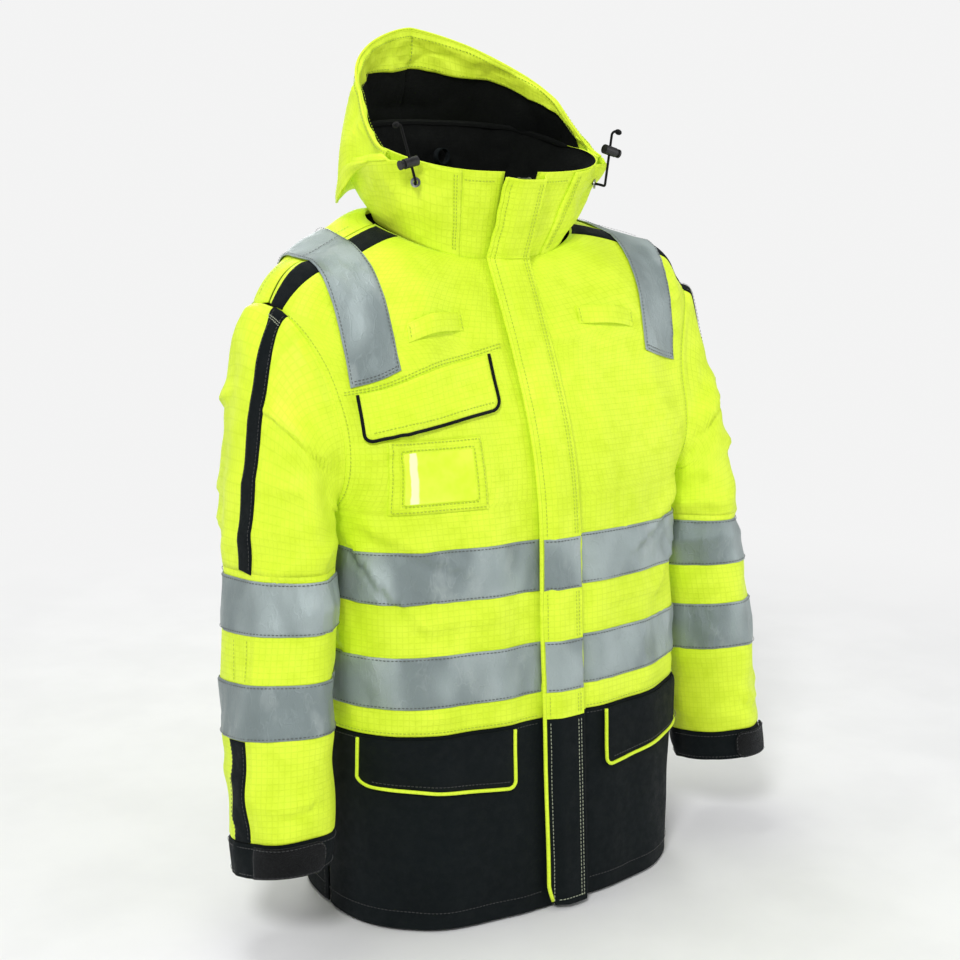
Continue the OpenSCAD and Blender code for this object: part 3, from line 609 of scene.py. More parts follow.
# ---- Materials: u and v along the cloth come from each piece's "cloth" attribute, in metres ------
class Net:
    """A material being built from nodes."""

    def __init__(self, name):
        self.mat = bpy.data.materials.new(name)
        self.mat.use_nodes = True
        self.nt = self.mat.node_tree
        self.bsdf = self.nt.nodes["Principled BSDF"]

    def put(self, socket, value):
        if isinstance(value, bpy.types.NodeSocket):
            self.nt.links.new(value, socket)
        elif value is not None:
            socket.default_value = (*value, 1) if isinstance(value, tuple) and len(value) == 3 \
                and socket.type == "RGBA" else value

    def node(self, kind, out=0, ins=None, **props):
        n = self.nt.nodes.new("ShaderNode" + kind)
        for k, v in props.items():
            setattr(n, k, v)
        for k, v in (ins or {}).items():
            self.put(n.inputs[k], v)
        return n.outputs[out]

    def math(self, op, a, b=None):
        return self.node("Math", ins={i: v for i, v in enumerate((a, b)) if v is not None}, operation=op)

    def sine(self, x, rate):
        return self.math("SINE", self.math("MULTIPLY", x, rate))

    def weave(self, u, v, rate):
        return self.math("MULTIPLY", self.sine(u, rate), self.sine(v, rate))

    def ramp(self, x, lo, hi, a=0.0, b=1.0):
        return self.node("MapRange", ins={0: x, 1: lo, 2: hi, 3: a, 4: b}, interpolation_type="SMOOTHSTEP")

    def noise(self, at, scale, detail=3.0, rough=0.55):
        return self.node("TexNoise", ins={"Vector": at, "Scale": scale, "Detail": detail, "Roughness": rough})

    def colour(self, fac, a, b):
        n = self.nt.nodes.new("ShaderNodeMix")
        n.data_type = "RGBA"
        self.put(n.inputs[0], fac)
        self.put(n.inputs[6], a)
        self.put(n.inputs[7], b)
        return n.outputs[2]

    def bump(self, height, distance, strength=1.0, normal=None):
        return self.node("Bump", ins={"Height": height, "Distance": distance, "Strength": strength,
                                      "Normal": normal})

    def cloth(self):
        split = self.nt.nodes.new("ShaderNodeSeparateXYZ")
        self.nt.links.new(self.node("Attribute", out=1, attribute_name="cloth"), split.inputs[0])
        return split.outputs[0], split.outputs[1]

    def place(self):
        return self.node("TexCoord", out=3)

    def lines(self, x, pitch, width):
        """1 on thin lines at every pitch of x, 0 between them."""
        d = self.math("PINGPONG", self.math("DIVIDE", x, pitch), 0.5)
        return self.ramp(d, 0.5 * width / pitch, 1.1 * width / pitch, 1.0, 0.0)

    def finish(self, **ins):
        for k, v in ins.items():
            self.put(self.bsdf.inputs[k.replace("_", " ")], v)
        return self.mat


def scaled(colour, k):
    return tuple(k * c for c in colour)


def high_vis():
    """Fluorescent ripstop: a fine weave with a raised grid, slightly crumpled, with painted shade in the
    crumples' hollows and a faint painted glow.
    """
    n = Net("high_vis_ripstop")
    u, v = n.cloth()
    at = n.place()
    grid = n.math("MAXIMUM", n.lines(u, 0.0066, 0.0007), n.lines(v, 0.0066, 0.0007))
    weave = n.weave(u, v, 6000.0)
    broad, fine = n.noise(at, 7.0, 3.0), n.noise(at, 46.0, 4.0, 0.6)
    tone = n.colour(n.ramp(broad, 0.38, 0.68, 0.0, 0.8), (0.70, 0.87, 0.044), (0.60, 0.78, 0.024))
    tone = n.colour(n.math("MULTIPLY", grid, 0.20), tone, (0.42, 0.60, 0.0))
    # painted shade: where the fine crumple bump sinks, the cloth is painted darker
    tone = n.colour(n.ramp(fine, 0.30, 0.62, 0.30, 0.0), tone, (0.46, 0.64, 0.0))
    b = n.bump(broad, 0.010, 0.22)
    b = n.bump(fine, 0.0022, 0.40, b)
    b = n.bump(grid, 0.0004, 0.45, b)
    b = n.bump(weave, 0.0002, 0.25, b)
    # the emission is a painted glow, standing in for the cloth's fluorescence
    return n.finish(Base_Color=tone, Roughness=n.ramp(fine, 0.3, 0.7, 0.62, 0.50), Normal=b,
                    Sheen_Weight=0.12, Sheen_Roughness=0.4, Sheen_Tint=(0.9, 1.0, 0.4),
                    Emission_Color=tone, Emission_Strength=0.13, Specular_IOR_Level=0.3)


def dark_cloth(name, base, twill, sheen, pile=0.0):
    """Near-black cloth: diagonal twill or a short pile, with faint lint and wear, and painted highlights on
    the twill's ribs.
    """
    n = Net(name)
    u, v = n.cloth()
    at = n.place()
    rib = n.sine(n.math("ADD", u, n.math("MULTIPLY", v, 1.6)), 6.2832 / twill)
    cross = n.sine(v, 6.2832 / twill * 1.3)
    broad, fine = n.noise(at, 9.0, 3.0), n.noise(at, 90.0, 5.0, 0.65)
    fuzz = n.noise(at, 900.0, 2.0, 0.7)
    tone = n.colour(n.ramp(broad, 0.3, 0.75, 0.0, 0.6), base, scaled(base, 1.55))
    # painted highlight: the twill's raised ribs are painted lighter
    tone = n.colour(n.math("MULTIPLY", n.ramp(rib, -0.2, 1.0), 0.30), tone, scaled(base, 2.2))
    tone = n.colour(n.ramp(fuzz, 0.66, 0.78, 0.0, 0.35), tone, scaled(base, 4.0))
    b = n.bump(broad, 0.012, 0.25)
    b = n.bump(fine, 0.0016, 0.35, b)
    b = n.bump(n.math("ADD", rib, n.math("MULTIPLY", cross, 0.5)), 0.0003, 0.5, b)
    if pile:
        b = n.bump(fuzz, pile, 0.8, b)
    return n.finish(Base_Color=tone, Roughness=n.ramp(fine, 0.3, 0.7, 0.86, 0.66), Normal=b,
                    Sheen_Weight=sheen, Sheen_Roughness=0.45, Sheen_Tint=(0.75, 0.8, 0.85),
                    Specular_IOR_Level=0.12)


def reflective():
    """Retroreflective tape: a bead-coated grey film over cloth, creased, with painted highlights on its
    ripples and crease lines, painted shade in its facets' hollows, and dark bead specks.
    """
    n = Net("reflective_tape")
    u, v = n.cloth()
    at = n.place()
    warp = n.node("Mapping", ins={"Vector": at, "Rotation": (0.3, 0.5, 0.2), "Scale": (1.0, 1.0, 0.5)})
    facets = n.node("TexVoronoi", ins={"Vector": warp, "Scale": 26.0, "Randomness": 1.0}, feature="SMOOTH_F1")
    broad, beads = n.noise(warp, 11.0, 2.0), n.noise(at, 2600.0, 1.0)
    ripple = n.noise(warp, 34.0, 3.0, 0.5)
    weave = n.weave(u, v, 7000.0)
    lines = n.math("ABSOLUTE", n.math("SUBTRACT", n.noise(warp, 74.0, 2.0, 0.5), 0.5))
    lines = n.ramp(lines, 0.0, 0.035, 1.0, 0.0)
    wrinkled = n.ramp(ripple, 0.46, 0.62, 0.0, 0.16)
    tone = n.colour(n.ramp(broad, 0.41, 0.59), (0.225, 0.277, 0.280), (0.385, 0.455, 0.455))
    # painted highlight: crease lines on the wrinkled parts are painted pale
    tone = n.colour(n.math("MULTIPLY", lines, wrinkled), tone, (0.56, 0.63, 0.63))
    # painted highlight: the ripples' raised crests are painted lighter
    tone = n.colour(n.ramp(ripple, 0.55, 0.72, 0.0, 0.55), tone, (0.44, 0.50, 0.50))
    # painted shade: the facets' hollows are painted darker
    tone = n.colour(n.ramp(facets, 0.05, 0.55, 0.40, 0.0), tone, (0.165, 0.205, 0.205))
    tone = n.colour(n.ramp(beads, 0.35, 0.7, 0.0, 0.25), tone, (0.15, 0.18, 0.18))
    b = n.bump(broad, 0.012, 0.45)
    b = n.bump(facets, 0.006, 0.40, b)
    b = n.bump(ripple, 0.0035, 0.60, b)
    b = n.bump(lines, 0.0005, 0.4, b)
    b = n.bump(n.math("ADD", weave, beads), 0.00015, 0.4, b)
    return n.finish(Base_Color=tone, Metallic=0.35, Roughness=n.ramp(ripple, 0.3, 0.7, 0.38, 0.52), Normal=b,
                    Sheen_Weight=0.05, Specular_IOR_Level=0.5)


def thread(name, light, shade):
    n = Net(name)
    u, v = n.cloth()
    ply = n.sine(n.math("ADD", u, n.math("MULTIPLY", v, 1.4)), 9000.0)
    # painted light and shade: the ply's raised twist takes the light colour, its grooves the shade colour
    tone = n.colour(n.ramp(ply, -0.6, 0.9), shade, light)
    return n.finish(Base_Color=tone, Roughness=0.6, Normal=n.bump(ply, 0.0002, 0.5), Sheen_Weight=0.3)


def braid(name, base):
    """Round braided cord, its strands painted lighter on their ridges and darker in their grooves: painted
    light and shade.
    """
    n = Net(name)
    u, v = n.cloth()
    knit = n.math("MAXIMUM", n.sine(n.math("ADD", u, v), 3600.0), n.sine(n.math("SUBTRACT", u, v), 3600.0))
    # painted light and shade: the braid's raised strands are painted lighter, its grooves darker
    tone = n.colour(n.ramp(knit, 0.0, 1.0), scaled(base, 0.5), scaled(base, 2.2))
    return n.finish(Base_Color=tone, Roughness=0.85, Normal=n.bump(knit, 0.0005, 0.7), Sheen_Weight=0.05,
                    Specular_IOR_Level=0.2)


def hard(name, base, metallic, rough, brushed, wear):
    """Moulded plastic, or worn metal with a brushed grain."""
    n = Net(name)
    at = n.place()
    grain = n.noise(n.node("Mapping", ins={"Vector": at, "Scale": (1.0, 1.0, 0.12 if brushed else 1.0)}),
                    1400.0 if brushed else 420.0, 3.0)
    broad = n.noise(at, 120.0, 3.0)
    edge = n.node("NewGeometry", out=7)
    rub = n.math("MULTIPLY", n.ramp(edge, 0.52, 0.60), n.ramp(broad, 0.4, 0.65))
    tone = n.colour(n.ramp(broad, 0.3, 0.7, 0.0, 0.6), base, scaled(base, 1.6))
    tone = n.colour(n.math("MULTIPLY", rub, 0.6), tone, wear)
    return n.finish(Base_Color=tone, Metallic=metallic, Normal=n.bump(grain, 0.0002, 0.3 + brushed),
                    Roughness=n.ramp(broad, 0.3, 0.7, rough - 0.06, rough + 0.1))


def film():
    """The badge pocket's clear window: glossy film over the yellow cloth, with a painted highlight streak and
    a faint painted glow.
    """
    n = Net("clear_film")
    u, _ = n.cloth()
    at = n.place()
    scuff, soft = n.noise(at, 160.0, 4.0, 0.6), n.noise(at, 30.0, 3.0)
    ragged = n.math("ADD", u, n.math("MULTIPLY", n.math("SUBTRACT", soft, 0.5), 0.012))
    # painted highlight: a pale streak across the film where a reflection would sit
    highlight_streak = n.math("MULTIPLY", n.ramp(ragged, 0.026, 0.029), n.ramp(ragged, 0.0375, 0.036))
    tone = n.colour(n.ramp(soft, 0.35, 0.65), (0.62, 0.82, 0.02), (0.70, 0.88, 0.05))
    tone = n.colour(n.math("MULTIPLY", highlight_streak, 0.75), tone, (0.86, 0.92, 0.60))
    # the emission is a painted glow that lifts the film's brightness
    return n.finish(Base_Color=tone, Roughness=n.ramp(scuff, 0.35, 0.7, 0.10, 0.26), Coat_Weight=0.6,
                    Coat_Roughness=0.08, Emission_Color=tone, Emission_Strength=0.15,
                    Normal=n.bump(soft, 0.004, 0.3))


HIVIS = high_vis()
DARK = dark_cloth("dark_twill", (0.0030, 0.0052, 0.0060), 0.0016, 0.03)
FLEECE = dark_cloth("black_lining", (0.0020, 0.0026, 0.0022), 0.0022, 0.03, 0.0012)
VELOUR = dark_cloth("hook_and_loop", (0.0030, 0.0032, 0.0034), 0.0012, 0.12, 0.0016)
TAPE = reflective()
LIGHT_THREAD = thread("thread_light", (0.55, 0.60, 0.42), (0.22, 0.25, 0.18))
YELLOW_THREAD = thread("thread_yellow", (0.62, 0.80, 0.02), (0.36, 0.50, 0.0))
DARK_THREAD = thread("thread_black", (0.018, 0.020, 0.021), (0.006, 0.007, 0.008))
GREY_THREAD = thread("thread_grey", (0.13, 0.15, 0.15), (0.06, 0.07, 0.07))
CORD = braid("braided_cord", (0.0012, 0.0013, 0.0014))
PLASTIC = hard("black_plastic", (0.0022, 0.0024, 0.0025), 0.0, 0.46, 0.0, (0.02, 0.02, 0.02))
METAL = hard("dull_metal", (0.20, 0.21, 0.22), 1.0, 0.36, 0.5, (0.55, 0.55, 0.56))
FILM = film()


# ---- Pieces --------------------------------------------------------------------------------------
def line(n, lo=0.0, hi=1.0):
    return np.linspace(lo, hi, n)


def spread(n, width):
    """0 to 1 in n even steps, with more samples near both ends of a strip this wide."""
    e = np.array([0.0, 0.9, 2.0, 3.6]) / width
    return np.concatenate([e[:-1], np.linspace(e[-1], 1 - e[-1], n), 1 - e[:-1][::-1]])


def tuck(u, width, depth=1.2, reach=2.0):
    """How far a sewn edge is pulled in, across a strip."""
    d = np.minimum(u, 1 - u) * width
    return -depth * bell(d, reach)


def follow(q, run, pts):
    """The points at lengths q along a line whose own points lie at the lengths run."""
    return np.stack([np.interp(q, run, pts[:, i]) for i in range(3)], -1)


def tucked(u, v, wu, wv, depth=1.2, reach=2.0):
    return np.minimum(tuck(u, wu, depth, reach), tuck(v, wv, depth, reach))


# The fabric that crosses a joint: the two bodies, and where the bend starts and ends
BLENDS = {"flap": ("torso", "flap", Vector((0, -0.15, 0.535)), Vector((0, -0.15, 0.415))),
          "hood": ("torso", "hood", Vector((0, 0.32, 0.946)) * 0.793, Vector((0, 0.32, 0.946)) * 0.868)}
for word, k in (("right", -1), ("left", 1)):
    outward = Vector((0.949 * k, 0, -0.316))
    BLENDS["arm_" + word] = ("torso", "arm_" + word, outward * 0.0795, outward * 0.098)
    BLENDS["forearm_" + word] = ("arm_" + word, "forearm_" + word,
                                 Vector((0.29 * k, -0.05, 0.405)), Vector((0.29 * k, -0.05, 0.268)))


class Piece:
    """One named mesh, gathered from grids, tubes and stitches, that rides on a body or crosses a joint."""

    def __init__(self, name, key, material):
        self.name, self.key, self.material = name, key, material
        self.v, self.f, self.c, self.count = [], [], [], 0

    def add(self, points, faces, cloth):
        self.v.append(np.asarray(points, float).reshape(-1, 3))
        self.c.append(np.asarray(cloth, float).reshape(-1, 3))
        self.f.append(np.asarray(faces, int) + self.count)
        self.count += len(self.v[-1])
        return self

    def grid(self, P, closed=False, flip=False):
        rows, cols = P.shape[:2]
        nxt = P[:, list(range(1, cols)) + ([0] if closed else [])]
        du = np.linalg.norm(nxt - P[:, :nxt.shape[1]], axis=-1).mean(0)
        U = np.concatenate([[0], np.cumsum(du)])[:cols]
        V = np.concatenate([[0], np.cumsum(np.linalg.norm(np.diff(P, axis=0), axis=-1).mean(1))])
        u, v = np.meshgrid(U - U.mean(), V)
        i = np.arange(cols if closed else cols - 1)
        j = np.arange(rows - 1)[:, None]
        k = (i + 1) % cols
        low, high = j * cols, (j + 1) * cols
        quads = np.stack([low + i, low + k, high + k, high + i], -1).reshape(-1, 4)
        return self.add(P, quads[:, ::-1] if flip else quads, vec(u * MM, v * MM, 0 * u))

    def tube(self, pts, r, sides=10, closed=False):
        pts = np.asarray(pts, float)
        n = len(pts)
        r = np.broadcast_to(np.asarray(r, float), (n,))
        d = unit(np.roll(pts, -1, 0) - np.roll(pts, 1, 0)) if closed else unit(np.gradient(pts, axis=0))
        up = np.array([0.3, 0.2, 0.93]) if abs(d[0][2]) < 0.9 else np.array([1.0, 0.1, 0])
        frames = []
        for k in range(n):
            b = unit(np.cross(d[k], up))
            up = unit(np.cross(b, d[k]))
            frames.append((b, up))
        t = np.radians(np.arange(sides) * 360 / sides)
        B, T = (np.array([f[i] for f in frames]) for i in (0, 1))
        circle = np.cos(t)[None, :, None] * B[:, None] + np.sin(t)[None, :, None] * T[:, None]
        P = pts[:, None] + r[:, None, None] * circle
        if closed:
            P = np.concatenate([P, P[:1]])
        else:
            P = np.concatenate([pts[:1, None].repeat(sides, 1), P, pts[-1:, None].repeat(sides, 1)])
        return self.grid(P, closed=True, flip=True)

    def stitches(self, pts, normals, pitch=4.4, length=3.1, width=0.55, lift=0.35):
        """A row of separate thread stitches along a line on the cloth."""
        pts, normals = np.asarray(pts, float), np.asarray(normals, float)
        run = np.concatenate([[0], np.cumsum(np.linalg.norm(np.diff(pts, axis=0), axis=-1))])
        start = np.arange(0.8, run[-1] - length, pitch)
        if len(start) == 0:
            return self
        n = unit(follow(start, run, normals))
        a, b = follow(start, run, pts), follow(start + length, run, pts)
        d = unit(b - a)
        side = unit(np.cross(d, n))
        rings = []
        for q, high in ((a, 0.0), (mix(a, b, 0.25), 1.0), (mix(a, b, 0.75), 1.0), (b, 0.0)):
            c = q + n * (lift * high - 0.1)
            w = width * (0.45 + 0.55 * high)
            rings.append(np.stack([c + side * w, c + n * w * 0.8, c - side * w], 1))
        P = np.stack(rings, 1)
        m = len(start)
        one = np.array([[3 * r + c + k for k in (0, 1, 4, 3)] for r in range(3) for c in range(2)])
        faces = (one + (np.arange(m) * 12)[:, None, None]).reshape(-1, 4)
        along, over = np.repeat(np.arange(4), 3) * 0.001, np.arange(3) * 0.0005
        cloth = vec(np.tile(along, m), np.tile(over, 4 * m), 0.0)
        return self.add(P, faces[:, ::-1], cloth)

    def build(self, thick=0.0, replaces=()):
        mesh = bpy.data.meshes.new(self.name)
        v, f = np.concatenate(self.v) * MM, np.concatenate(self.f)
        mesh.from_pydata(v.tolist(), [], f.tolist())
        mesh.polygons.foreach_set("use_smooth", np.full(len(mesh.polygons), True))
        cloth = mesh.attributes.new("cloth", "FLOAT_VECTOR", "POINT")
        cloth.data.foreach_set("vector", np.concatenate(self.c).astype(np.float32).ravel())
        mesh.materials.append(self.material)
        mesh.update()
        o = put_object(self.name, mesh)
        if thick:
            s = o.modifiers.new("Thickness", "SOLIDIFY")
            s.thickness, s.offset = thick * MM, -1.0
        if self.key in BLENDS:
            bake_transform(o)
        else:
            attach(o, self.key)
        if replaces:
            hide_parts(*replaces)
        return o


def sheet(name, key, material, P, thick, *replaces, closed=False, flip=False):
    """A piece made of one grid of points."""
    Piece(name, key, material).grid(P, closed, flip).build(thick, replaces)


SEWN = {}


def sew(key, material, pts, normals, **k):
    """Adds a stitch line to the thread piece of its body and colour."""
    label = f"stitching_{key}_{material.name.split('_')[-1]}"
    if label not in SEWN:
        SEWN[label] = Piece(label, key, material)
    SEWN[label].stitches(pts, normals, **k)


def sew_on(key, material, surface, a, s, off=0.6, **k):
    a, s = np.broadcast_arrays(np.asarray(a, float), np.asarray(s, float))
    sew(key, material, surface.at(a, s, off), surface.normal(a, s), **k)


NAMES = {-1: "right", 1: "left"}
TAPE_SEAMS = (2.6, TAPE_W - 2.6)


def panel_edge(s, back):
    """The angle where a panel ends: just past the armhole's edge, or just short of the side seam."""
    e = edge_angle(s, back)
    return e + np.where(e > 0.5, -1.1, 0.4)


def front_span(s, side, x_in=4.0):
    """Body angles of the front's centre edge and its side or armhole edge, at s."""
    m = panel_edge(s, False)
    return angle_at(side * x_in, s), (-m if side > 0 else 180 + m)


def across(s, side, u):
    """A rising set of body angles across one front."""
    c, e = front_span(s, side)
    lo, hi = (c, e) if side > 0 else (e, c)
    return mix(lo[:, None], hi[:, None], u[None, :])


def steps(lo, hi, step):
    """Rising values, closer together near both ends."""
    e = np.array([0.0, 0.9, 2.0, 3.6])
    mid = np.linspace(lo + e[-1], hi - e[-1], max(3, int(round((hi - lo) / step))))
    return np.concatenate([lo + e[:-1], mid, hi - e[:-1][::-1]])


# ---- Torso ---------------------------------------------------------------------------------------
HIGH_S = np.concatenate([steps(SKIRT + 0.4, YOKE, 4.8)[:-3], np.linspace(YOKE, NECK_S - 1.5, 52)])
LOW_S = steps(0, SKIRT - 0.4, 5.0)
skirt_tuck = -1.3 * bell(HIGH_S - SKIRT, 2)
hem_fold = 0.9 * ease((24 - LOW_S) / 1.5) - 1.3 * bell(LOW_S - SKIRT, 2)
for side in (-1, 1):
    word = NAMES[side]
    u = spread(48, 225)
    off = np.minimum(tuck(u, 225), skirt_tuck[:, None])
    sheet("shell_front_" + word, "torso", HIVIS, torso.at(across(HIGH_S, side, u), HIGH_S[:, None], off),
          1.6, "front_panel_" + word)
    off = np.minimum(tuck(u, 225), hem_fold[:, None])
    sheet("skirt_front_" + word, "torso", DARK, torso.at(across(LOW_S, side, u), LOW_S[:, None], off),
          2.0, "lower_front_" + word)
u = spread(100, 460)
e = panel_edge(HIGH_S, True)[:, None]
off = np.minimum(tuck(u, 460), skirt_tuck[:, None])
sheet("shell_back", "torso", HIVIS, torso.at(mix(e, 180 - e, u), HIGH_S[:, None], off), 1.6, "back_panel")
off = np.minimum(tuck(u, 460), hem_fold[:, None])
sheet("skirt_back", "torso", DARK, torso.at(mix(0.3, 179.7, u), LOW_S[:, None], off), 2.0, "lower_back")

# quilted lining, inside from the hem to the neck
s = np.linspace(14, NECK_S - 12, 110)[:, None]
a = np.linspace(-87, 267, 190)[None, :]
quilt = np.minimum(np.abs((s / 64) % 1 - 0.5), np.abs((a / 15) % 1 - 0.5)) * 2
sheet("lining_quilted", "torso", FLEECE, torso.at(a, s, -10.0 + 3.5 * (1 - bell(quilt, 0.22))),
      0.8, "body_lining", "pocket_bags", flip=True)

# hem and seam stitching
HEM_ROWS = ((20.0, DARK_THREAD), (SKIRT + 4.5, YELLOW_THREAD), (SKIRT - 4.5, DARK_THREAD))
for side in (-1, 1):
    for s0, mat in HEM_ROWS:
        c, e = front_span(np.array([s0]), side, 40.0 if side > 0 else 29.0)
        sew_on("torso", mat, torso, np.linspace(c[0], e[0], 60), s0)
    s = np.linspace(ARM_LOW + 4, ARM_TOP - 1, 90)
    for back in (False, True):
        m = edge_angle(s, back) + 2.0
        sew_on("torso", YELLOW_THREAD, torso, turned(m, side, back), s)
    s = np.linspace(ARM_TOP + 3, NECK_S - 6, 30)
    sew_on("torso", YELLOW_THREAD, torso, turned(6.5 + 0 * s, side, True), s)
    s = np.linspace(2, ARM_LOW - 3, 120)
    sew_on("torso", DARK_THREAD, torso, turned(1.1 + 0 * s[s < SKIRT], side, True), s[s < SKIRT])
    sew_on("torso", YELLOW_THREAD, torso, turned(1.1 + 0 * s[s > SKIRT], side, True), s[s > SKIRT])
for s0, mat in HEM_ROWS:
    sew_on("torso", mat, torso, np.linspace(1.5, 178.5, 140), s0)

# ---- Reflective tape -----------------------------------------------------------------------------
def crinkle(P, seed):
    return 0.8 * (creases(P * [1, 1, 0.6], 15, seed, (0.6, 0.6, 0.5), 0.9) + 0.5 * waves(P, 34, seed + 1))


tapes = Piece("tape_hoops", "torso", TAPE)
for z in HOOPS:
    v, u = spread(12, TAPE_W), spread(300, 1200)
    s = z + v[:, None] * TAPE_W
    a = mix(angle_at(34.0 + 0 * s, s), angle_at(-22.0 + 0 * s, s), u[None, :])
    edge = tucked(u[None, :], v[:, None], 1200, TAPE_W, 0.7, 1.6)
    tapes.grid(torso.at(a, s, 1.6 + edge + crinkle(torso.at(a, s), 81 + int(z))))
    for d in TAPE_SEAMS:
        sew_on("torso", GREY_THREAD, torso, a[0][::2], z + d, 2.1)
tapes.build(0.8, ("waist_tapes",))


def crest(x):
    """The s where the shoulder's top line reaches x."""
    return bisect(lambda m: base.at(0 * m, m)[..., 0] > x,
                  np.full(x.shape, YOKE), np.full(x.shape, NECK_S), 14)


def brace_at(u, v, side):
    """Body angle and s of a point across (u) and along (v) a brace, from its front end to its back end."""
    w = 2 * v - 1
    k = np.abs(w)
    x = BRACE_X + 9 * (1 - k) - TAPE_W / 2 + TAPE_W * u
    s = mix(crest(x), s_at(x, 626 - 14 * u + 0 * x), k)
    a = np.where(w < 0, angle_at(x, s, False), angle_at(x, s, True))
    return (a if side > 0 else 180 - a), s, 1.2 * (1 - k)


braces = Piece("tape_braces", "torso", TAPE)
for side in (-1, 1):
    u, v = np.meshgrid(spread(12, TAPE_W), spread(96, 330))
    a, s, lift = brace_at(u, v, side)
    edge = tucked(u, v, TAPE_W, 330, 0.7, 1.6)
    braces.grid(torso.at(a, s, 2.3 + lift + edge + crinkle(torso.at(a, s), 90 + side)), flip=side < 0)
    for pu, pv in ([(d / TAPE_W + 0 * line(90), line(90, 0.012, 0.988)) for d in TAPE_SEAMS]
                   + [(line(16, 0.05, 0.95), c + 0 * line(16)) for c in (0.010, 0.024, 0.5, 0.976, 0.99)]):
        a, s, lift = brace_at(pu, pv, side)
        sew("torso", GREY_THREAD, torso.at(a, s, 2.8 + lift), torso.normal(a, s))
braces.build(0.8, ("braces",))

patches = Piece("shoulder_patches", "torso", DARK)
for side in (-1, 1):
    u, v = np.meshgrid(spread(8, 26), spread(30, 130))
    s = mix(ARM_TOP + 0.1, NECK_S - 2, v)
    a = mix(-17, -3, u) * mix(0.6, 1.5, v)
    patches.grid(torso.at(a if side > 0 else 180 - a, s, 1.4 + tucked(u, v, 26, 130)), flip=side < 0)
patches.build(0.8, ("shoulder_stripes",))

# ---- Storm flap and zip --------------------------------------------------------------------------
def flap_wave(u, w):
    """The free edge lifts and dips a little."""
    return ((1 - u) ** 2 * (1.0 * np.sin(w * 9.5 + 0.6) + 0.6 * np.sin(w * 23)) + 1.0 * np.sin(math.pi * u)
            - 6.3 * ease((0.38 - u) / 0.38))


def chamfer(w):
    """How far the flap's lower outer corner is cut back."""
    return 9 * np.clip(1 - (w - w_of(2)) / w_of(26), 0, 1) ** 1.4


def flap_grid(w):
    u, w = np.meshgrid(spread(14, 48), w)
    x = mix(-23.5 + chamfer(w), 26.0, u)
    inside = tuck(u, 48, 0.8)
    return strip.at(x, w, 14.4 + inside + flap_wave(u, w) + 0.8 * creases(strip.at(x, w), 40, 61) * (1 - u))


low_w = w_of(steps(2, SKIRT - 0.3, 6.0))
high_w = np.concatenate([w_of(steps(SKIRT + 0.3, 690, 5.0))[:-3], np.linspace(0.987, 1.975, 60)])
sheet("storm_flap_dark", "flap", DARK, flap_grid(low_w), 2.6)
sheet("storm_flap_yellow", "flap", HIVIS, flap_grid(high_w), 2.6, "storm_flap", "collar_flap")
w = np.concatenate([np.linspace(0.012, 0.98, 150), np.linspace(0.985, 1.972, 60)])
Piece("flap_edge_binding", "flap", HIVIS).tube(
    strip.at(-24.2 + chamfer(w), w, 13.1 + flap_wave(0 * w, w)), 2.3, 10).build(0, ("flap_binding",))
tapes = Piece("flap_reflective", "flap", TAPE)
for z in HOOPS:
    u, v = np.meshgrid(spread(12, 46), spread(12, TAPE_W))
    x, w = mix(-22.0, 25.6, u), w_of(z + v * TAPE_W)
    P = strip.at(x, w)
    tapes.grid(strip.at(x, w, 15.7 + flap_wave(u, w) + tucked(u, v, 46, TAPE_W, 0.7, 1.4) + crinkle(P, 101)))
    for d in TAPE_SEAMS:
        x = np.linspace(-21, 25, 20)
        w = w_of(z + d) + 0 * x
        sew("flap", GREY_THREAD, strip.at(x, w, 16.4 + flap_wave((x + 22) / 47, w)), strip.normal(x, w))
tapes.build(0.8, ("flap_tapes",))


def root_grid(w):
    u, w = np.meshgrid(np.concatenate([line(9, 0, 0.8), [0.86, 0.92, 0.97, 1.0]]), w)
    high = np.where(w > 1, -2.5 * ease((w - 1) / 0.15), 1.2)
    return strip.at(mix(25.7, 39.0, u), w, mix(14.5, high, ease(u ** 0.8)))


sheet("flap_root_dark", "torso", DARK, root_grid(low_w), 2.0)
sheet("flap_root_yellow", "torso", HIVIS, root_grid(high_w), 2.0, "flap_root")
for lo, hi, mat in ((w_of(8), w_of(218), LIGHT_THREAD), (w_of(226), w_of(250), YELLOW_THREAD),
                    (w_of(313), w_of(366), YELLOW_THREAD), (w_of(430), 1.94, YELLOW_THREAD)):
    w = np.linspace(float(lo), float(hi), 160)
    for x in (21.5, 17.5, -18.5):
        u = (x + 23.5) / 49.5
        sew("flap", mat, strip.at(x + 0 * w, w, 15.0 + flap_wave(u, w) + 0.8 * (1 - u) * creases(
            strip.at(x + 0 * w, w), 40, 61)), strip.normal(x + 0 * w, w))
x = np.linspace(-14, 22, 12)
sew("flap", LIGHT_THREAD, strip.at(x, w_of(10) + 0 * x, 15.2 + flap_wave((x + 23) / 49, w_of(10))),
    strip.normal(x, w_of(10) + 0 * x))

zip_tapes = Piece("zip_tape_woven", "torso", DARK)
for side in (-1, 1):
    u, w = np.meshgrid(line(5), np.linspace(w_of(12), 1.955, 200))
    zip_tapes.grid(strip.at(side * mix(4.2, 13.0, u), w, 2.3), flip=side < 0)
zip_tapes.build(0.7, ("zip_tape",))


def grip_pieces(name, key, off, node, out):
    p = Piece(name, key, VELOUR)
    for z in (70, 190, 330):
        u, v = np.meshgrid(spread(6, 9), spread(16, 50))
        drop = 0 if out else 6.3 * ease((0.38 - (1.5 + 8.5 * u) / 49.5) / 0.38)
        p.grid(strip.at(mix(-22.0, -13.5, u), w_of(z + 50 * v), off - drop + 0.5 * tucked(u, v, 9, 50)),
               flip=not out)
    p.build(0.9, (node,))


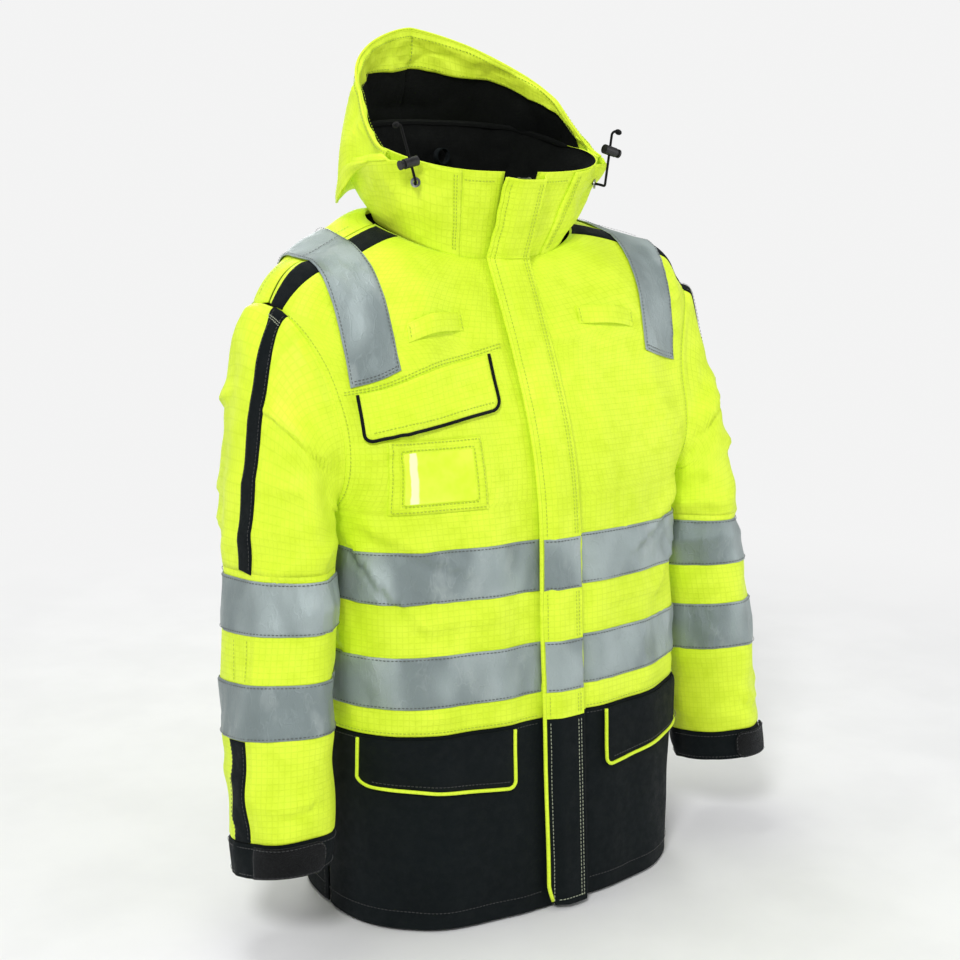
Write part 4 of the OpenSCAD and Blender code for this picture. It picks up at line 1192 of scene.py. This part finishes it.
grip_pieces("grip_loops", "torso", 2.3, "loop_patches", True)
grip_pieces("grip_hooks", "flap", 10.5, "hook_patches", False)

# ---- Pockets -------------------------------------------------------------------------------------
def rounded(x, width, r=9.0):
    """How far a bottom edge rises near its two rounded corners."""
    d = np.clip(np.minimum(x, width - x), 0, r)
    return r - np.sqrt(np.maximum(0, r * r - (r - d) ** 2))


def crowned(u, v, height, power=4):
    return height * (1 - (2 * u - 1) ** power) * (1 - (2 * v - 1) ** power)


def round_edge(x0, width, r, side_n, arc_n, low_n, gap):
    """x along a flap's piping: down one side, round the two lower corners and up the other side."""
    arc = r * (1 - cosd(np.linspace(6, 90, arc_n)))
    return x0 + np.concatenate([np.zeros(side_n), arc, np.linspace(gap, width - gap, low_n),
                                width - arc[::-1], np.full(side_n, width)])


POCKET = (65.0, 224.0)
POCKET_W, POCKET_TOP, CORNER = POCKET[1] - POCKET[0], 219.0, 9.0


def pocket_low(x):
    """The flap's lower edge, before its corners are rounded: it rises towards the side seam."""
    return 151.0 + 14 * (x - POCKET[0]) / POCKET_W


def pocket_point(x, v, side, off):
    """v 0 is the flap's lower edge and 1 its top."""
    s = mix(pocket_low(x) + rounded(x - POCKET[0], POCKET_W), POCKET_TOP, v)
    a = angle_at(side * x, s)
    return torso.at(a, s, off), torso.normal(a, s)


for side in (-1, 1):
    word = NAMES[side]
    key = "pocket_" + word
    u, v = np.meshgrid(spread(40, 159), spread(18, 66))
    x = mix(*POCKET, u)
    crown = crowned(u, v, 1.6)
    sag = 0.9 * waves(vec(x * side, 0 * x, 70 * v), 60, 41 + side) * (1 - v)
    P, _ = pocket_point(x, v, side, 4.0 + crown + sag + tucked(u, v, 159, 66, 0.9))
    sheet("pocket_cover_" + word, key, DARK, P, 2.2, "pocket_flap_" + word, flip=side < 0)
    x = round_edge(POCKET[0], POCKET_W, CORNER, 26, 9, 36, 12)
    v = np.concatenate([line(26, 0.99, 0.01), np.zeros(54), line(26, 0.01, 0.99)])
    low = pocket_low(x) + rounded(np.clip(x - POCKET[0], 0.0, POCKET_W), POCKET_W)
    s = np.where(v > 0, mix(pocket_low(x) + CORNER, POCKET_TOP, v), low)
    P = torso.at(angle_at(side * x, s), s, 4.1)
    Piece("pocket_edge_" + word, key, HIVIS).tube(P, 2.1, 8).build(0, ("pocket_piping_" + word,))
    x = np.linspace(POCKET[0] + 8, POCKET[1] - 8, 50)
    P, n = pocket_point(x, 0.13 + 0 * x, side, 6.4)
    sew(key, DARK_THREAD, P, n)

CHEST = (57.0, 222.0)
CHEST_W, CHEST_H = CHEST[1] - CHEST[0], 58.0


def chest_top(x):
    return 629.0 - (x - 55) * 0.16


def chest_point(x, drop, off):
    s = s_at(x, chest_top(x) - drop)
    a = angle_at(-x, s)
    return torso.at(a, s, off), torso.normal(a, s)


u, v = np.meshgrid(spread(38, CHEST_W), spread(14, CHEST_H))
x = mix(*CHEST, u)
drop = (1 - v) * (CHEST_H - rounded(x - CHEST[0], CHEST_W, 10))
crown = crowned(u, v, 1.5)
P, _ = chest_point(x, drop, 4.3 + crown + tucked(u, v, CHEST_W, CHEST_H, 0.9))
sheet("chest_cover", "chest_pocket", HIVIS, P, 2.0, "chest_flap", flip=True)
x = round_edge(CHEST[0], CHEST_W, 10, 22, 8, 32, 13)
low = CHEST_H - rounded(x[22:70] - CHEST[0], CHEST_W, 10)
drop = np.concatenate([line(22, 0.5, 47), low, line(22, 47, 0.5)])
P, _ = chest_point(x, drop, 4.4)
Piece("chest_edge", "chest_pocket", DARK).tube(P, 1.9, 8).build(0, ("chest_piping",))
x = np.linspace(CHEST[0] + 7, CHEST[1] - 7, 50)
P, n = chest_point(x, 50 + 0 * x, 6.2)
sew("chest_pocket", YELLOW_THREAD, P, n)
for d in (-3.0, -6.5):
    x = np.linspace(36, 238, 60)
    P, n = chest_point(x, d + 0 * x, 0.7)
    sew("torso", YELLOW_THREAD, P, n)

# badge pocket with its window
BADGE, WINDOW = (90.0, 200.0, 468.0, 545.0), (103.0, 185.0, 479.0, 533.0)


def patch(box, nu, nv, off):
    x0, x1, s0, s1 = box
    x, s = np.meshgrid(mix(x0, x1, spread(nu, x1 - x0)), mix(s0, s1, spread(nv, s1 - s0)))
    return torso.at(angle_at(-x, s), s, off)


def frame_path(box):
    x0, x1, z0, z1 = box
    n = 24
    x = np.concatenate([line(n, x0, x1), np.full(n, x1), line(n, x1, x0), np.full(n, x0)])
    z = np.concatenate([np.full(n, z0), line(n, z0, z1), np.full(n, z1), line(n, z1, z0)])
    return x, z


u, v = np.meshgrid(spread(24, 110), spread(18, 77))
badge = Piece("badge_pocket", "torso", HIVIS)
badge.grid(patch(BADGE, 24, 18, 3.0 + tucked(u, v, 110, 77, 1.4, 2.2)), flip=True)
x, z = frame_path(WINDOW)
badge.tube(torso.at(angle_at(-x, z), z, 3.5), 0.9, 6, closed=True)
badge.build(1.2, ("badge_holder",))
u, v = np.meshgrid(spread(18, 82), spread(12, 54))
P = patch(WINDOW, 18, 12, 3.9 + crowned(u, v, 0.8, 2))
sheet("badge_film", "torso", FILM, P, 0, "badge_window", flip=True)
for box in ((93, 197, 471, 542), (101, 187, 477, 535)):
    x, z = frame_path(box)
    sew_on("torso", YELLOW_THREAD, torso, angle_at(-x, z), z, 3.8)

LOOP = (80.0, 156.0)
loops = Piece("radio_loops", "torso", HIVIS)
for side in (-1, 1):
    u, v = np.meshgrid(spread(30, 76), spread(8, 20))
    x, z = mix(*LOOP, u), 656.0 + 20 * v - 3 * u
    s = s_at(x, z)
    arch = np.clip(np.sin(math.pi * np.clip((u - 0.06) / 0.88, 0, 1)), 0, 1) ** 0.8
    hump = 1.6 + 5.0 * arch + 0.6 * tuck(v, 19)
    loops.grid(torso.at(angle_at(side * x, s), s, hump), flip=side < 0)
    for end_x in (LOOP[0] + 2.4, LOOP[1] - 2.4):
        z = line(12, 657, 673)
        s = s_at(end_x + 0 * z, z)
        sew_on("torso", YELLOW_THREAD, torso, angle_at(side * end_x + 0 * z, s), s, 2.6)
loops.build(1.4, ("mic_loops",))

def rolled(top, n, up, r, turns):
    """Rows of points that roll an edge over towards its inner side."""
    return np.stack([top - n * r + n * r * math.cos(q) + up * r * math.sin(q) for q in np.radians(turns)])


# ---- Collar --------------------------------------------------------------------------------------
a = np.linspace(-86.5, 266.5, 210)[None, :]
v = np.concatenate([np.linspace(-0.01, 0.992, 30), [1.0]])[:, None]
P = collar.at(a, np.clip(v, 0, 1), tuck((a + 86.5) / 353, 800) + 0 * v)
foot = P[:1] - collar.normal(a[0], 0.0 * a[0])[None] * 3.0 - [0, 0, 8.0]
P = np.concatenate([foot, P])
top = collar.at(a[0], 1.0 + 0 * a[0])
n = collar.normal(a[0], 0.98 + 0 * a[0])
roll = rolled(top, n, np.array([0, 0, 1.0]), 1.0, [35, 70, 110, 145, 180])
inner = [collar.at(a[0], q + 0 * a[0], -2.1) for q in (0.99, 0.97)]
sheet("collar_outer", "torso", HIVIS, np.concatenate([P, roll, np.stack(inner)]), 1.2, "collar")
v = np.concatenate([np.linspace(-0.1, 0.9, 26), [0.94, 0.97, 0.988, 0.994]])[:, None]
deep = -2.5 - 3.4 * (1 - ease((v - 0.78) / 0.2)) - 0.8 * ease((v - 0.985) / 0.009)
P = collar.at(a, np.clip(v, 0, 1), deep + 0.35 * np.sin(a / 9.0))
P = P + np.array([0, 0, 100.0]) * np.minimum(v, 0)[..., None]
sheet("collar_inner", "torso", FLEECE, P, 1.0, "collar_lining", flip=True)
aa = np.linspace(2, 178, 130)[None, :]
q = np.array([0.0, 0.35, 0.7, 1.0])[:, None]
rim = collar.at(aa + 0 * q, 1.0, mix(-4.0, 1.9, q) + 0 * aa)
rim[..., 2] += 2.2 * ease((sind(aa) - 0.02) / 0.2) * np.array([-1.5, 1.0, 0.9, -0.9])[:, None]
sheet("collar_back_rim", "torso", FLEECE, rim, 0.6, flip=True)
sew_on("torso", YELLOW_THREAD, collar, np.linspace(-84, -68, 12), 0.9)
sew_on("torso", YELLOW_THREAD, collar, np.linspace(248, 264, 12), 0.9)
t = np.radians(np.arange(0, 360, 12))
ring = np.stack([9.0 * np.cos(t), 0 * t, 842 + 9.6 * np.sin(t)], -1)
lo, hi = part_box("hang_loop")
y = np.linspace(lo[1] / MM + 0.4, hi[1] / MM - 0.4, 7)
P = ring[None] + vec(0 * y, y, 0 * y)[:, None]
sheet("hanger_tape", "torso", DARK, P, 0.9, "hang_loop", closed=True, flip=True)

# the hood's skirt, sewn round the collar and rising to the hood's base
aa = np.linspace(-67, 247, 200)
front_off = np.minimum(aa + 67, 247 - aa)
half = half_angle(aa)
bb = 90 * np.clip((half + 26) / 116, 0, 1) ** (1 / 0.7)
v_top = np.where(half < -26, 1.0, mix(1.0, 0.3, np.maximum(sind(bb), 0) ** 0.7))
off_top = np.where(half < -26, mix(3.2, 14.5, ease((half + 44) / 18)), 14.5 + 2 * sind(bb))
v, a = np.meshgrid(np.linspace(0, 1, 30), aa, indexing="ij")
snug = 1 - bell(half_angle(a) + 40, 12)
off = mix(2.6, off_top, v ** 1.5) + (0.6 + 2.4 * snug) * np.sin(math.pi * v) * ease(front_off / 20)
folds = 1.6 * snug * creases(collar.at(a, mix(0.02, v_top, v)), 30, 57)
off = off + folds * np.sin(math.pi * v) * ease(front_off / 12)
off = off - 1.4 * bell(front_off, 1.2)
off = off - 4.8 * bell(half_angle(a) + 41, 8) * ease((v - 0.82) / 0.1)
P = collar.at(a, mix(0.02, v_top, v), off)
foot = P[0] - collar.normal(aa, 0.02 + 0 * aa) * 2.5 - [0, 0, 7.0]
head = P[-1] - collar.normal(aa, v_top) * 1.0 + vec(0 * aa, 0 * aa, 0.4 + 9 * ease((half + 24) / 10))
sheet("hood_skirt_cloth", "torso", HIVIS, np.concatenate([foot[None], P, head[None]]), 1.4, "hood_skirt")
for left_end in (True, False):
    for inset in (2.4, 4.4):
        i = int(round(np.interp(inset, front_off[:60], np.arange(60))))
        i = i if left_end else len(aa) - 1 - i
        vv = line(40, 0.04, 0.97)
        nn = collar.normal(aa[i] + 0 * vv, 0.02 + 0.96 * vv)
        sew("torso", YELLOW_THREAD, follow(vv, line(30), P[:, i]) + nn * 0.4, nn)

# ---- Hood ----------------------------------------------------------------------------------------
b = np.linspace(1.5, 178.5, 150)
B, T = np.meshgrid(b, line(64))
P = hood.at(B, T)
rim, rn = hood.at(b, 1.0 + 0 * b), hood.normal(b, 0.97 + 0 * b)
out = unit(rim - hood.at(b, 0.97 + 0 * b))
roll = rolled(rim, rn, out, 1.5, [25, 50, 75, 105, 130, 155, 180])
sheet("hood_cloth", "hood", HIVIS, np.concatenate([P, roll]), 1.4, "hood_shell")
B, T = np.meshgrid(b, np.linspace(0.825, 0.998, 26))
inner = hood_inner.at(B, T)
wrinkle = ease((0.985 - T) / 0.03) * (1.5 * creases(inner, 19, 74) + 1.1 * waves(inner, 26, 76) + 1.0)
depth = -2.9 - 2.0 * ease((0.992 - T) / 0.02) - np.maximum(0, wrinkle) + 1.2 * bell(T - 0.825, 0.005)
sheet("hood_facing_cloth", "hood", HIVIS, hood_inner.at(B, T, depth), 0.9, "hood_facing", flip=True)
B, T = np.meshgrid(np.linspace(10, 170, 140), np.linspace(0.0, 0.83, 48))
T = mix(0.26 * ease((np.abs(B - 90) - 50) / 18), 0.83, T / 0.83)
depth = mix(-4.5, -2.4, ease((T - 0.72) / 0.09))
depth = depth - np.where(B < 90, 0.0, 6.0) * np.exp(-((np.abs(B - 90) - 58) / 26) ** 2
                                                    - ((T - 0.38) / 0.20) ** 2)
depth = depth - 1.0 * creases(hood_inner.at(B, T), 40, 75) * ease((0.8 - T) / 0.1)
sheet("hood_lining_cloth", "hood", FLEECE, hood_inner.at(B, T, depth), 1.2, "hood_lining", flip=True)
for tt in (0.955, 0.945):
    sew("hood", YELLOW_THREAD, hood.at(b, tt + 0 * b, 0.5), hood.normal(b, tt + 0 * b))
for tt in (0.972, 0.838):
    sew("hood", YELLOW_THREAD, hood_inner.at(b, tt + 0 * b, -6.6), -hood_inner.normal(b, tt + 0 * b))
for db in (-1.1, 1.1):
    tt = line(60, 0.03, 0.99)
    sew("hood", YELLOW_THREAD, hood.at(90 + db + 0 * tt, tt, 0.5), hood.normal(90 + 0 * tt, tt))
    tt = line(20, 0.845, 0.985)
    sew("hood", YELLOW_THREAD, hood_inner.at(90 + db + 0 * tt, tt, -7.6), -hood_inner.normal(90 + 0 * tt, tt))

# ---- Cords: out of the eyelet and up through the lock ---------------------------------------------
def turn(p, axis, deg):
    c, s = math.cos(math.radians(deg)), math.sin(math.radians(deg))
    x, y, z = p[..., 0], p[..., 1], p[..., 2]
    if axis == "x":
        return vec(x, y * c - z * s, y * s + z * c)
    if axis == "y":
        return vec(x * c + z * s, y, -x * s + z * c)
    return vec(x * c - y * s, x * s + y * c, z)


eyelet = collar_base.at(np.array(-38.0), np.array(0.78), 7.0)
leave = turn(np.array([0, -1.0, 0]), "z", 42)
arc = np.radians(np.linspace(8, 112, 12))
tail = np.stack([(1 - np.cos(arc)) * 5.2, -np.linspace(0, 2.5, 12), np.sin(arc) * 5.2], -1) + [7, -12, 59]
run = np.concatenate([vec(7 + 0 * line(30), -12 + 0 * line(30), line(30, 0, 59)), tail])
run = turn(turn(run, "x", -8), "y", 14) + eyelet
start = np.stack([eyelet - leave * 4, eyelet + leave * 3, eyelet + leave * 8])
bend = mix(start[-1], run[0], np.array([[0.45], [0.8]])) + leave * 1.0 - [0, 0, 2.5]
path = np.concatenate([start, bend, run])
path = follow(np.linspace(0, len(path) - 1, 120), np.arange(len(path)), path)
k = np.ones(7) / 7
soft = np.stack([np.convolve(np.pad(path[:, i], 3, mode="edge"), k, mode="valid") for i in range(3)], -1)
path = np.where(line(120)[:, None] < 0.35, soft, path)
# a small ball at the cord's end
g = line(14, -4.2, 4.2)
ball = path[-1] + unit(path[-1] - path[-8]) * g[:, None]
ball_r = np.maximum(0.5, 3.3 * np.sqrt(np.maximum(0, 1 - (g / 4.4) ** 2)))
cords = Piece("cords_braided", "torso", CORD)
for side in (-1, 1):
    cords.tube(mirror(path, side), 1.5, 10)
    cords.tube(mirror(ball, side), ball_r, 16)
cords.build(0, ("hood_cords",))

# ---- Sleeves -------------------------------------------------------------------------------------
SLEEVE_A = np.arange(0, 360, 3.75) + STRIPE_A
CUFF_TOP = SLEEVE_END + CUFF_H
ARMHOLE_S = 0.997
# the turn at which the sleeve's top meets the shoulder patch
seam_turns = np.arange(-70, 1, 0.5)
patch_low = torso.at(np.array(-6.0), np.array(ARM_TOP + 1))
seam_gap = np.linalg.norm(sleeves[1].at(seam_turns, ARMHOLE_S) - patch_low, axis=-1)
STRIPE_TOP = float(seam_turns[seam_gap.argmin()]) - 4


def stripe_turn(s):
    high = mix(STRIPE_A, STRIPE_TOP, ease(s) ** 1.5)
    return np.where(s > 0, high, mix(STRIPE_A, -8.0, np.minimum(1, -s * 1.6)))


def stripe_at(s, d):
    """The angle at d across the stripe, which narrows towards the shoulder."""
    return stripe_turn(s) + mix(-8, 8, d) * (1 - 0.42 * ease(s))


for side in (-1, 1):
    word, arm, flip = NAMES[side], arm_surface[side], side < 0
    up, down = "arm_" + word, "forearm_" + word
    a = SLEEVE_A[None, :]
    v = np.concatenate([line(96, 0, 0.985), [0.991, 0.996, 1.0]])[:, None]
    s = mix(sleeve_s(a, ELBOW_Z + 1), ARMHOLE_S, v)
    rim_off = 0.5 * bell(1 - v, 0.04) - 1.6 * bell(1 - v, 0.006)
    P = arm.at(a, s, rim_off + 0 * a)
    under = arm.at(a[0], ARMHOLE_S + 0 * a[0], -3.2) - [5.0 * side, 0, 0]
    deep = arm.at(a[0], ARMHOLE_S + 0 * a[0], -8.0) - [11.0 * side, 0, 0]
    P = np.concatenate([P, under[None], deep[None]])
    sheet("sleeve_top_" + word, up, HIVIS, P, 1.6, "sleeve_upper_" + word, closed=True, flip=flip)
    z = np.concatenate([steps(CUFF_TOP + 0.5, ELBOW_Z - 20, 4.6)[:-3],
                        np.linspace(ELBOW_Z - 20, ELBOW_Z + 1, 6)])[:, None]
    P = arm.at(a, sleeve_s(a, z), -1.3 * bell(z - CUFF_TOP, 2) + 0 * a)
    sheet("sleeve_fore_" + word, down, HIVIS, P, 1.6, "sleeve_lower_" + word, closed=True, flip=flip)
    z = np.linspace(SLEEVE_END + 3, ELBOW_Z, 60)[:, None]
    P = arm.at(a, sleeve_s(a, z), -5.0 + 0 * a + 0 * z)
    sheet("sleeve_lining_low_" + word, down, FLEECE, P, 0.8, closed=True, flip=not flip)
    s = mix(sleeve_s(a, ELBOW_Z), 0.97, line(50)[:, None])
    P = arm.at(a, s, -5.0 + 0 * s)
    sheet("sleeve_lining_top_" + word, up, FLEECE, P, 0.8, closed=True, flip=not flip)

    # cuff band with light gathers
    z = steps(SLEEVE_END, CUFF_TOP, 3.0)[:, None]
    puff = 1.0 * np.sin(math.pi * (z - SLEEVE_END) / CUFF_H) - 1.1 * bell(z - CUFF_TOP, 1.6)
    ring = vec(40 * cosd(a), 40 * sind(a), 0 * a)
    gather = 1.3 * waves(ring, 13, 66 + side) * (0.35 + 0.65 * ease((sind(a) + 0.5) / 0.8))
    P = arm.at(a, sleeve_s(a, z), 0.4 + puff + gather)
    sheet("cuff_band_" + word, down, DARK, P, 3.0, "cuff_" + word, closed=True, flip=flip)
    for zz in (SLEEVE_END + 4.5, CUFF_TOP - 4.5):
        aa = np.linspace(0, 360, 100)
        sew_on(down, DARK_THREAD, arm, aa, sleeve_s(aa, zz), 1.4)

    # black stripe down the sleeve
    u, v = np.meshgrid(spread(8, 15), spread(80, 280))
    s = mix(sleeve_s(-10, ELBOW_Z + 2), 0.994, v)
    P = arm.at(stripe_at(s, u), s, 1.5 + tucked(u, v, 15, 280, 0.9))
    sheet("stripe_top_" + word, up, DARK, P, 0.9, "stripe_upper_" + word, flip=flip)
    for d in (0.12, 0.88):
        ss = line(120, float(sleeve_s(-10, ELBOW_Z + 6)), 0.985)
        sew(up, DARK_THREAD, arm.at(stripe_at(ss, d), ss, 1.8), arm.normal(stripe_turn(ss), ss))
    for ds in (0.86, 0.89):
        turns = stripe_turn(np.array(ds)) + line(12, -4.8, 4.8)
        sew_on(up, LIGHT_THREAD, arm, turns, ds, 1.9, pitch=2.6, length=1.9)
    u, v = np.meshgrid(spread(8, 22), spread(30, 106))
    z = mix(CUFF_TOP + 1, SLEEVE_TAPES[0] - 1, v)
    aa = -8 + mix(-12, 12, u)
    P = arm.at(aa, sleeve_s(aa, z), 1.5 + tucked(u, v, 22, 106, 0.9))
    sheet("stripe_low_" + word, down, DARK, P, 0.9, "stripe_lower_" + word, flip=flip)
    for d in (-10, 10):
        zz = line(40, 132, 232)
        sew_on(down, DARK_THREAD, arm, -8 + d + 0 * zz, sleeve_s(-8 + d, zz), 1.8)
    zz = line(30, SLEEVE_TAPES[0] + TAPE_W + 2, SLEEVE_TAPES[1] - 2)
    for d in (-9, 7):
        sew_on(down, YELLOW_THREAD, arm, -10 + d + 0 * zz, sleeve_s(-10 + d, zz), 0.6)

    # sleeve tapes
    tapes = Piece("sleeve_reflective_" + word, down, TAPE)
    aa = np.arange(0, 360, 3.0) + STRIPE_A
    for z0 in SLEEVE_TAPES:
        v = spread(12, TAPE_W)[:, None]
        s = sleeve_s(aa[None, :], z0 + v * TAPE_W)
        off = 1.4 + tuck(v, TAPE_W, 0.7, 1.6) + crinkle(arm.at(aa[None, :], s), 120 + side + int(z0))
        tapes.grid(arm.at(aa[None, :], s, off), closed=True, flip=flip)
        for d in TAPE_SEAMS:
            qa = np.append(aa, aa[0] + 360)
            sew_on(down, GREY_THREAD, arm, qa, sleeve_s(qa, z0 + d), 1.9)
    tapes.build(0.8, ("sleeve_tapes_" + word,))

    # cuff tab, rounded at its free end
    u, v = np.meshgrid(spread(30, 92), spread(12, 33))
    end = np.clip(1 - u * 92 / 12, 0, 1)
    vv = 0.5 + (v - 0.5) * np.sqrt(np.maximum(0.04, 1 - end ** 2))
    z = mix(SLEEVE_END + 1.5, CUFF_TOP - 1.5, vv)
    aa = mix(-112.0, -28.0, u)
    P = arm.at(aa, sleeve_s(aa, z), 5.6 + tucked(u, v, 92, 33, 1.2, 1.8))
    sheet("cuff_strap_" + word, "tab_" + word, VELOUR, P, 2.2, "cuff_tab_" + word, flip=flip)
    rows = [(2, slice(3, -3)), (slice(3, -3), -3), (-3, slice(-4, 2, -1)), (slice(-4, 2, -1), 2)]
    border = np.concatenate([P[i] for i in rows])
    nn = np.concatenate([arm.normal(aa[i], sleeve_s(aa[i], z[i])) for i in rows])
    sew("tab_" + word, DARK_THREAD, border + nn * 0.3, nn)

for piece in SEWN.values():
    piece.build()

# ---- Hard parts keep their CAD shape, with finished materials --------------------------------------
METAL_PARTS = ("zip_slider_top", "zip_pull_top", "zip_slider_bottom", "zip_pull_bottom", "cord_eyelets")
PLASTIC_PARTS = ("zip_teeth", "cord_lock_right", "cord_button_right", "cord_lock_left", "cord_button_left")
for node in METAL_PARTS + PLASTIC_PARTS:
    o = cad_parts[node]
    o.data.materials.clear()
    o.data.materials.append(METAL if node in METAL_PARTS else PLASTIC)

# ---- Floor, light and camera -------------------------------------------------------------------------
BACKDROP = 0.90


def floor_material():
    """Pale floor that melts into the backdrop with distance."""
    n = Net("pale_floor")
    at = n.place()
    tone = n.colour(n.ramp(n.noise(at, 6.0, 4.0), 0.3, 0.7), (0.80, 0.805, 0.81), (0.84, 0.845, 0.85))
    n.finish(Base_Color=tone, Roughness=0.9, Specular_IOR_Level=0.1)
    glow = n.node("Emission", ins={"Color": (1.0, 1.0, 1.0), "Strength": BACKDROP})
    far = n.ramp(n.node("VectorMath", out=1, ins={0: at}, operation="LENGTH"), 0.75, 1.9)
    both = n.node("MixShader", ins={0: far, 1: n.bsdf.outputs[0], 2: glow})
    n.nt.links.new(both, n.nt.nodes["Material Output"].inputs[0])
    return n.mat


mesh = bpy.data.meshes.new("floor")
q = 6.0
mesh.from_pydata([(-q, -q, 0), (q, -q, 0), (q, q, 0), (-q, q, 0)], [], [(0, 1, 2, 3)])
mesh.materials.append(floor_material())
floor = put_object("floor", mesh)
floor.location = (0, 0, -0.0035)


def lamp(name, at, look, size, power):
    data = bpy.data.lights.new(name, "AREA")
    data.shape, data.size, data.energy = "DISK", size, power
    o = put_object(name, data)
    o.location = at
    o.rotation_euler = (Vector(look) - Vector(at)).to_track_quat("-Z", "Y").to_euler()


lamp("key", (-2.3, -2.2, 2.8), (0, 0, 0.5), 0.9, 82)
lamp("fill", (2.6, -2.2, 1.2), (0, 0, 0.5), 1.8, 27)
lamp("top", (-0.4, 0.5, 3.2), (0, 0, 0.5), 1.4, 30)
lamp("back", (1.2, 2.8, 1.5), (0, 0, 0.6), 1.6, 26)
world = bpy.data.worlds.new("studio")
world.use_nodes = True
links, nodes = world.node_tree.links, world.node_tree.nodes
sky = nodes["Background"]
sky.inputs[0].default_value = (1, 1, 1, 1)
path = nodes.new("ShaderNodeLightPath")
level = nodes.new("ShaderNodeMapRange")
level.inputs[3].default_value, level.inputs[4].default_value = 0.43, BACKDROP
links.new(path.outputs["Is Camera Ray"], level.inputs[0])
links.new(level.outputs[0], sky.inputs[1])
scene = bpy.context.scene
scene.world = world
scene.view_settings.view_transform = "Standard"

cam = bpy.data.cameras.new("camera")
cam.lens, cam.sensor_width = 60.0, 36.0
camera = put_object("camera", cam)
right, up_v, ahead = (0.81869, -0.57379, 0.02260), (0.09776, 0.17806, 0.97915), (0.56585, 0.79941, -0.20187)
camera.matrix_world = Matrix(((right[0], up_v[0], -ahead[0], -1.0782),
                              (right[1], up_v[1], -ahead[1], -1.4857 + Y0 * MM),
                              (right[2], up_v[2], -ahead[2], 0.8499), (0, 0, 0, 1)))
scene.camera = camera
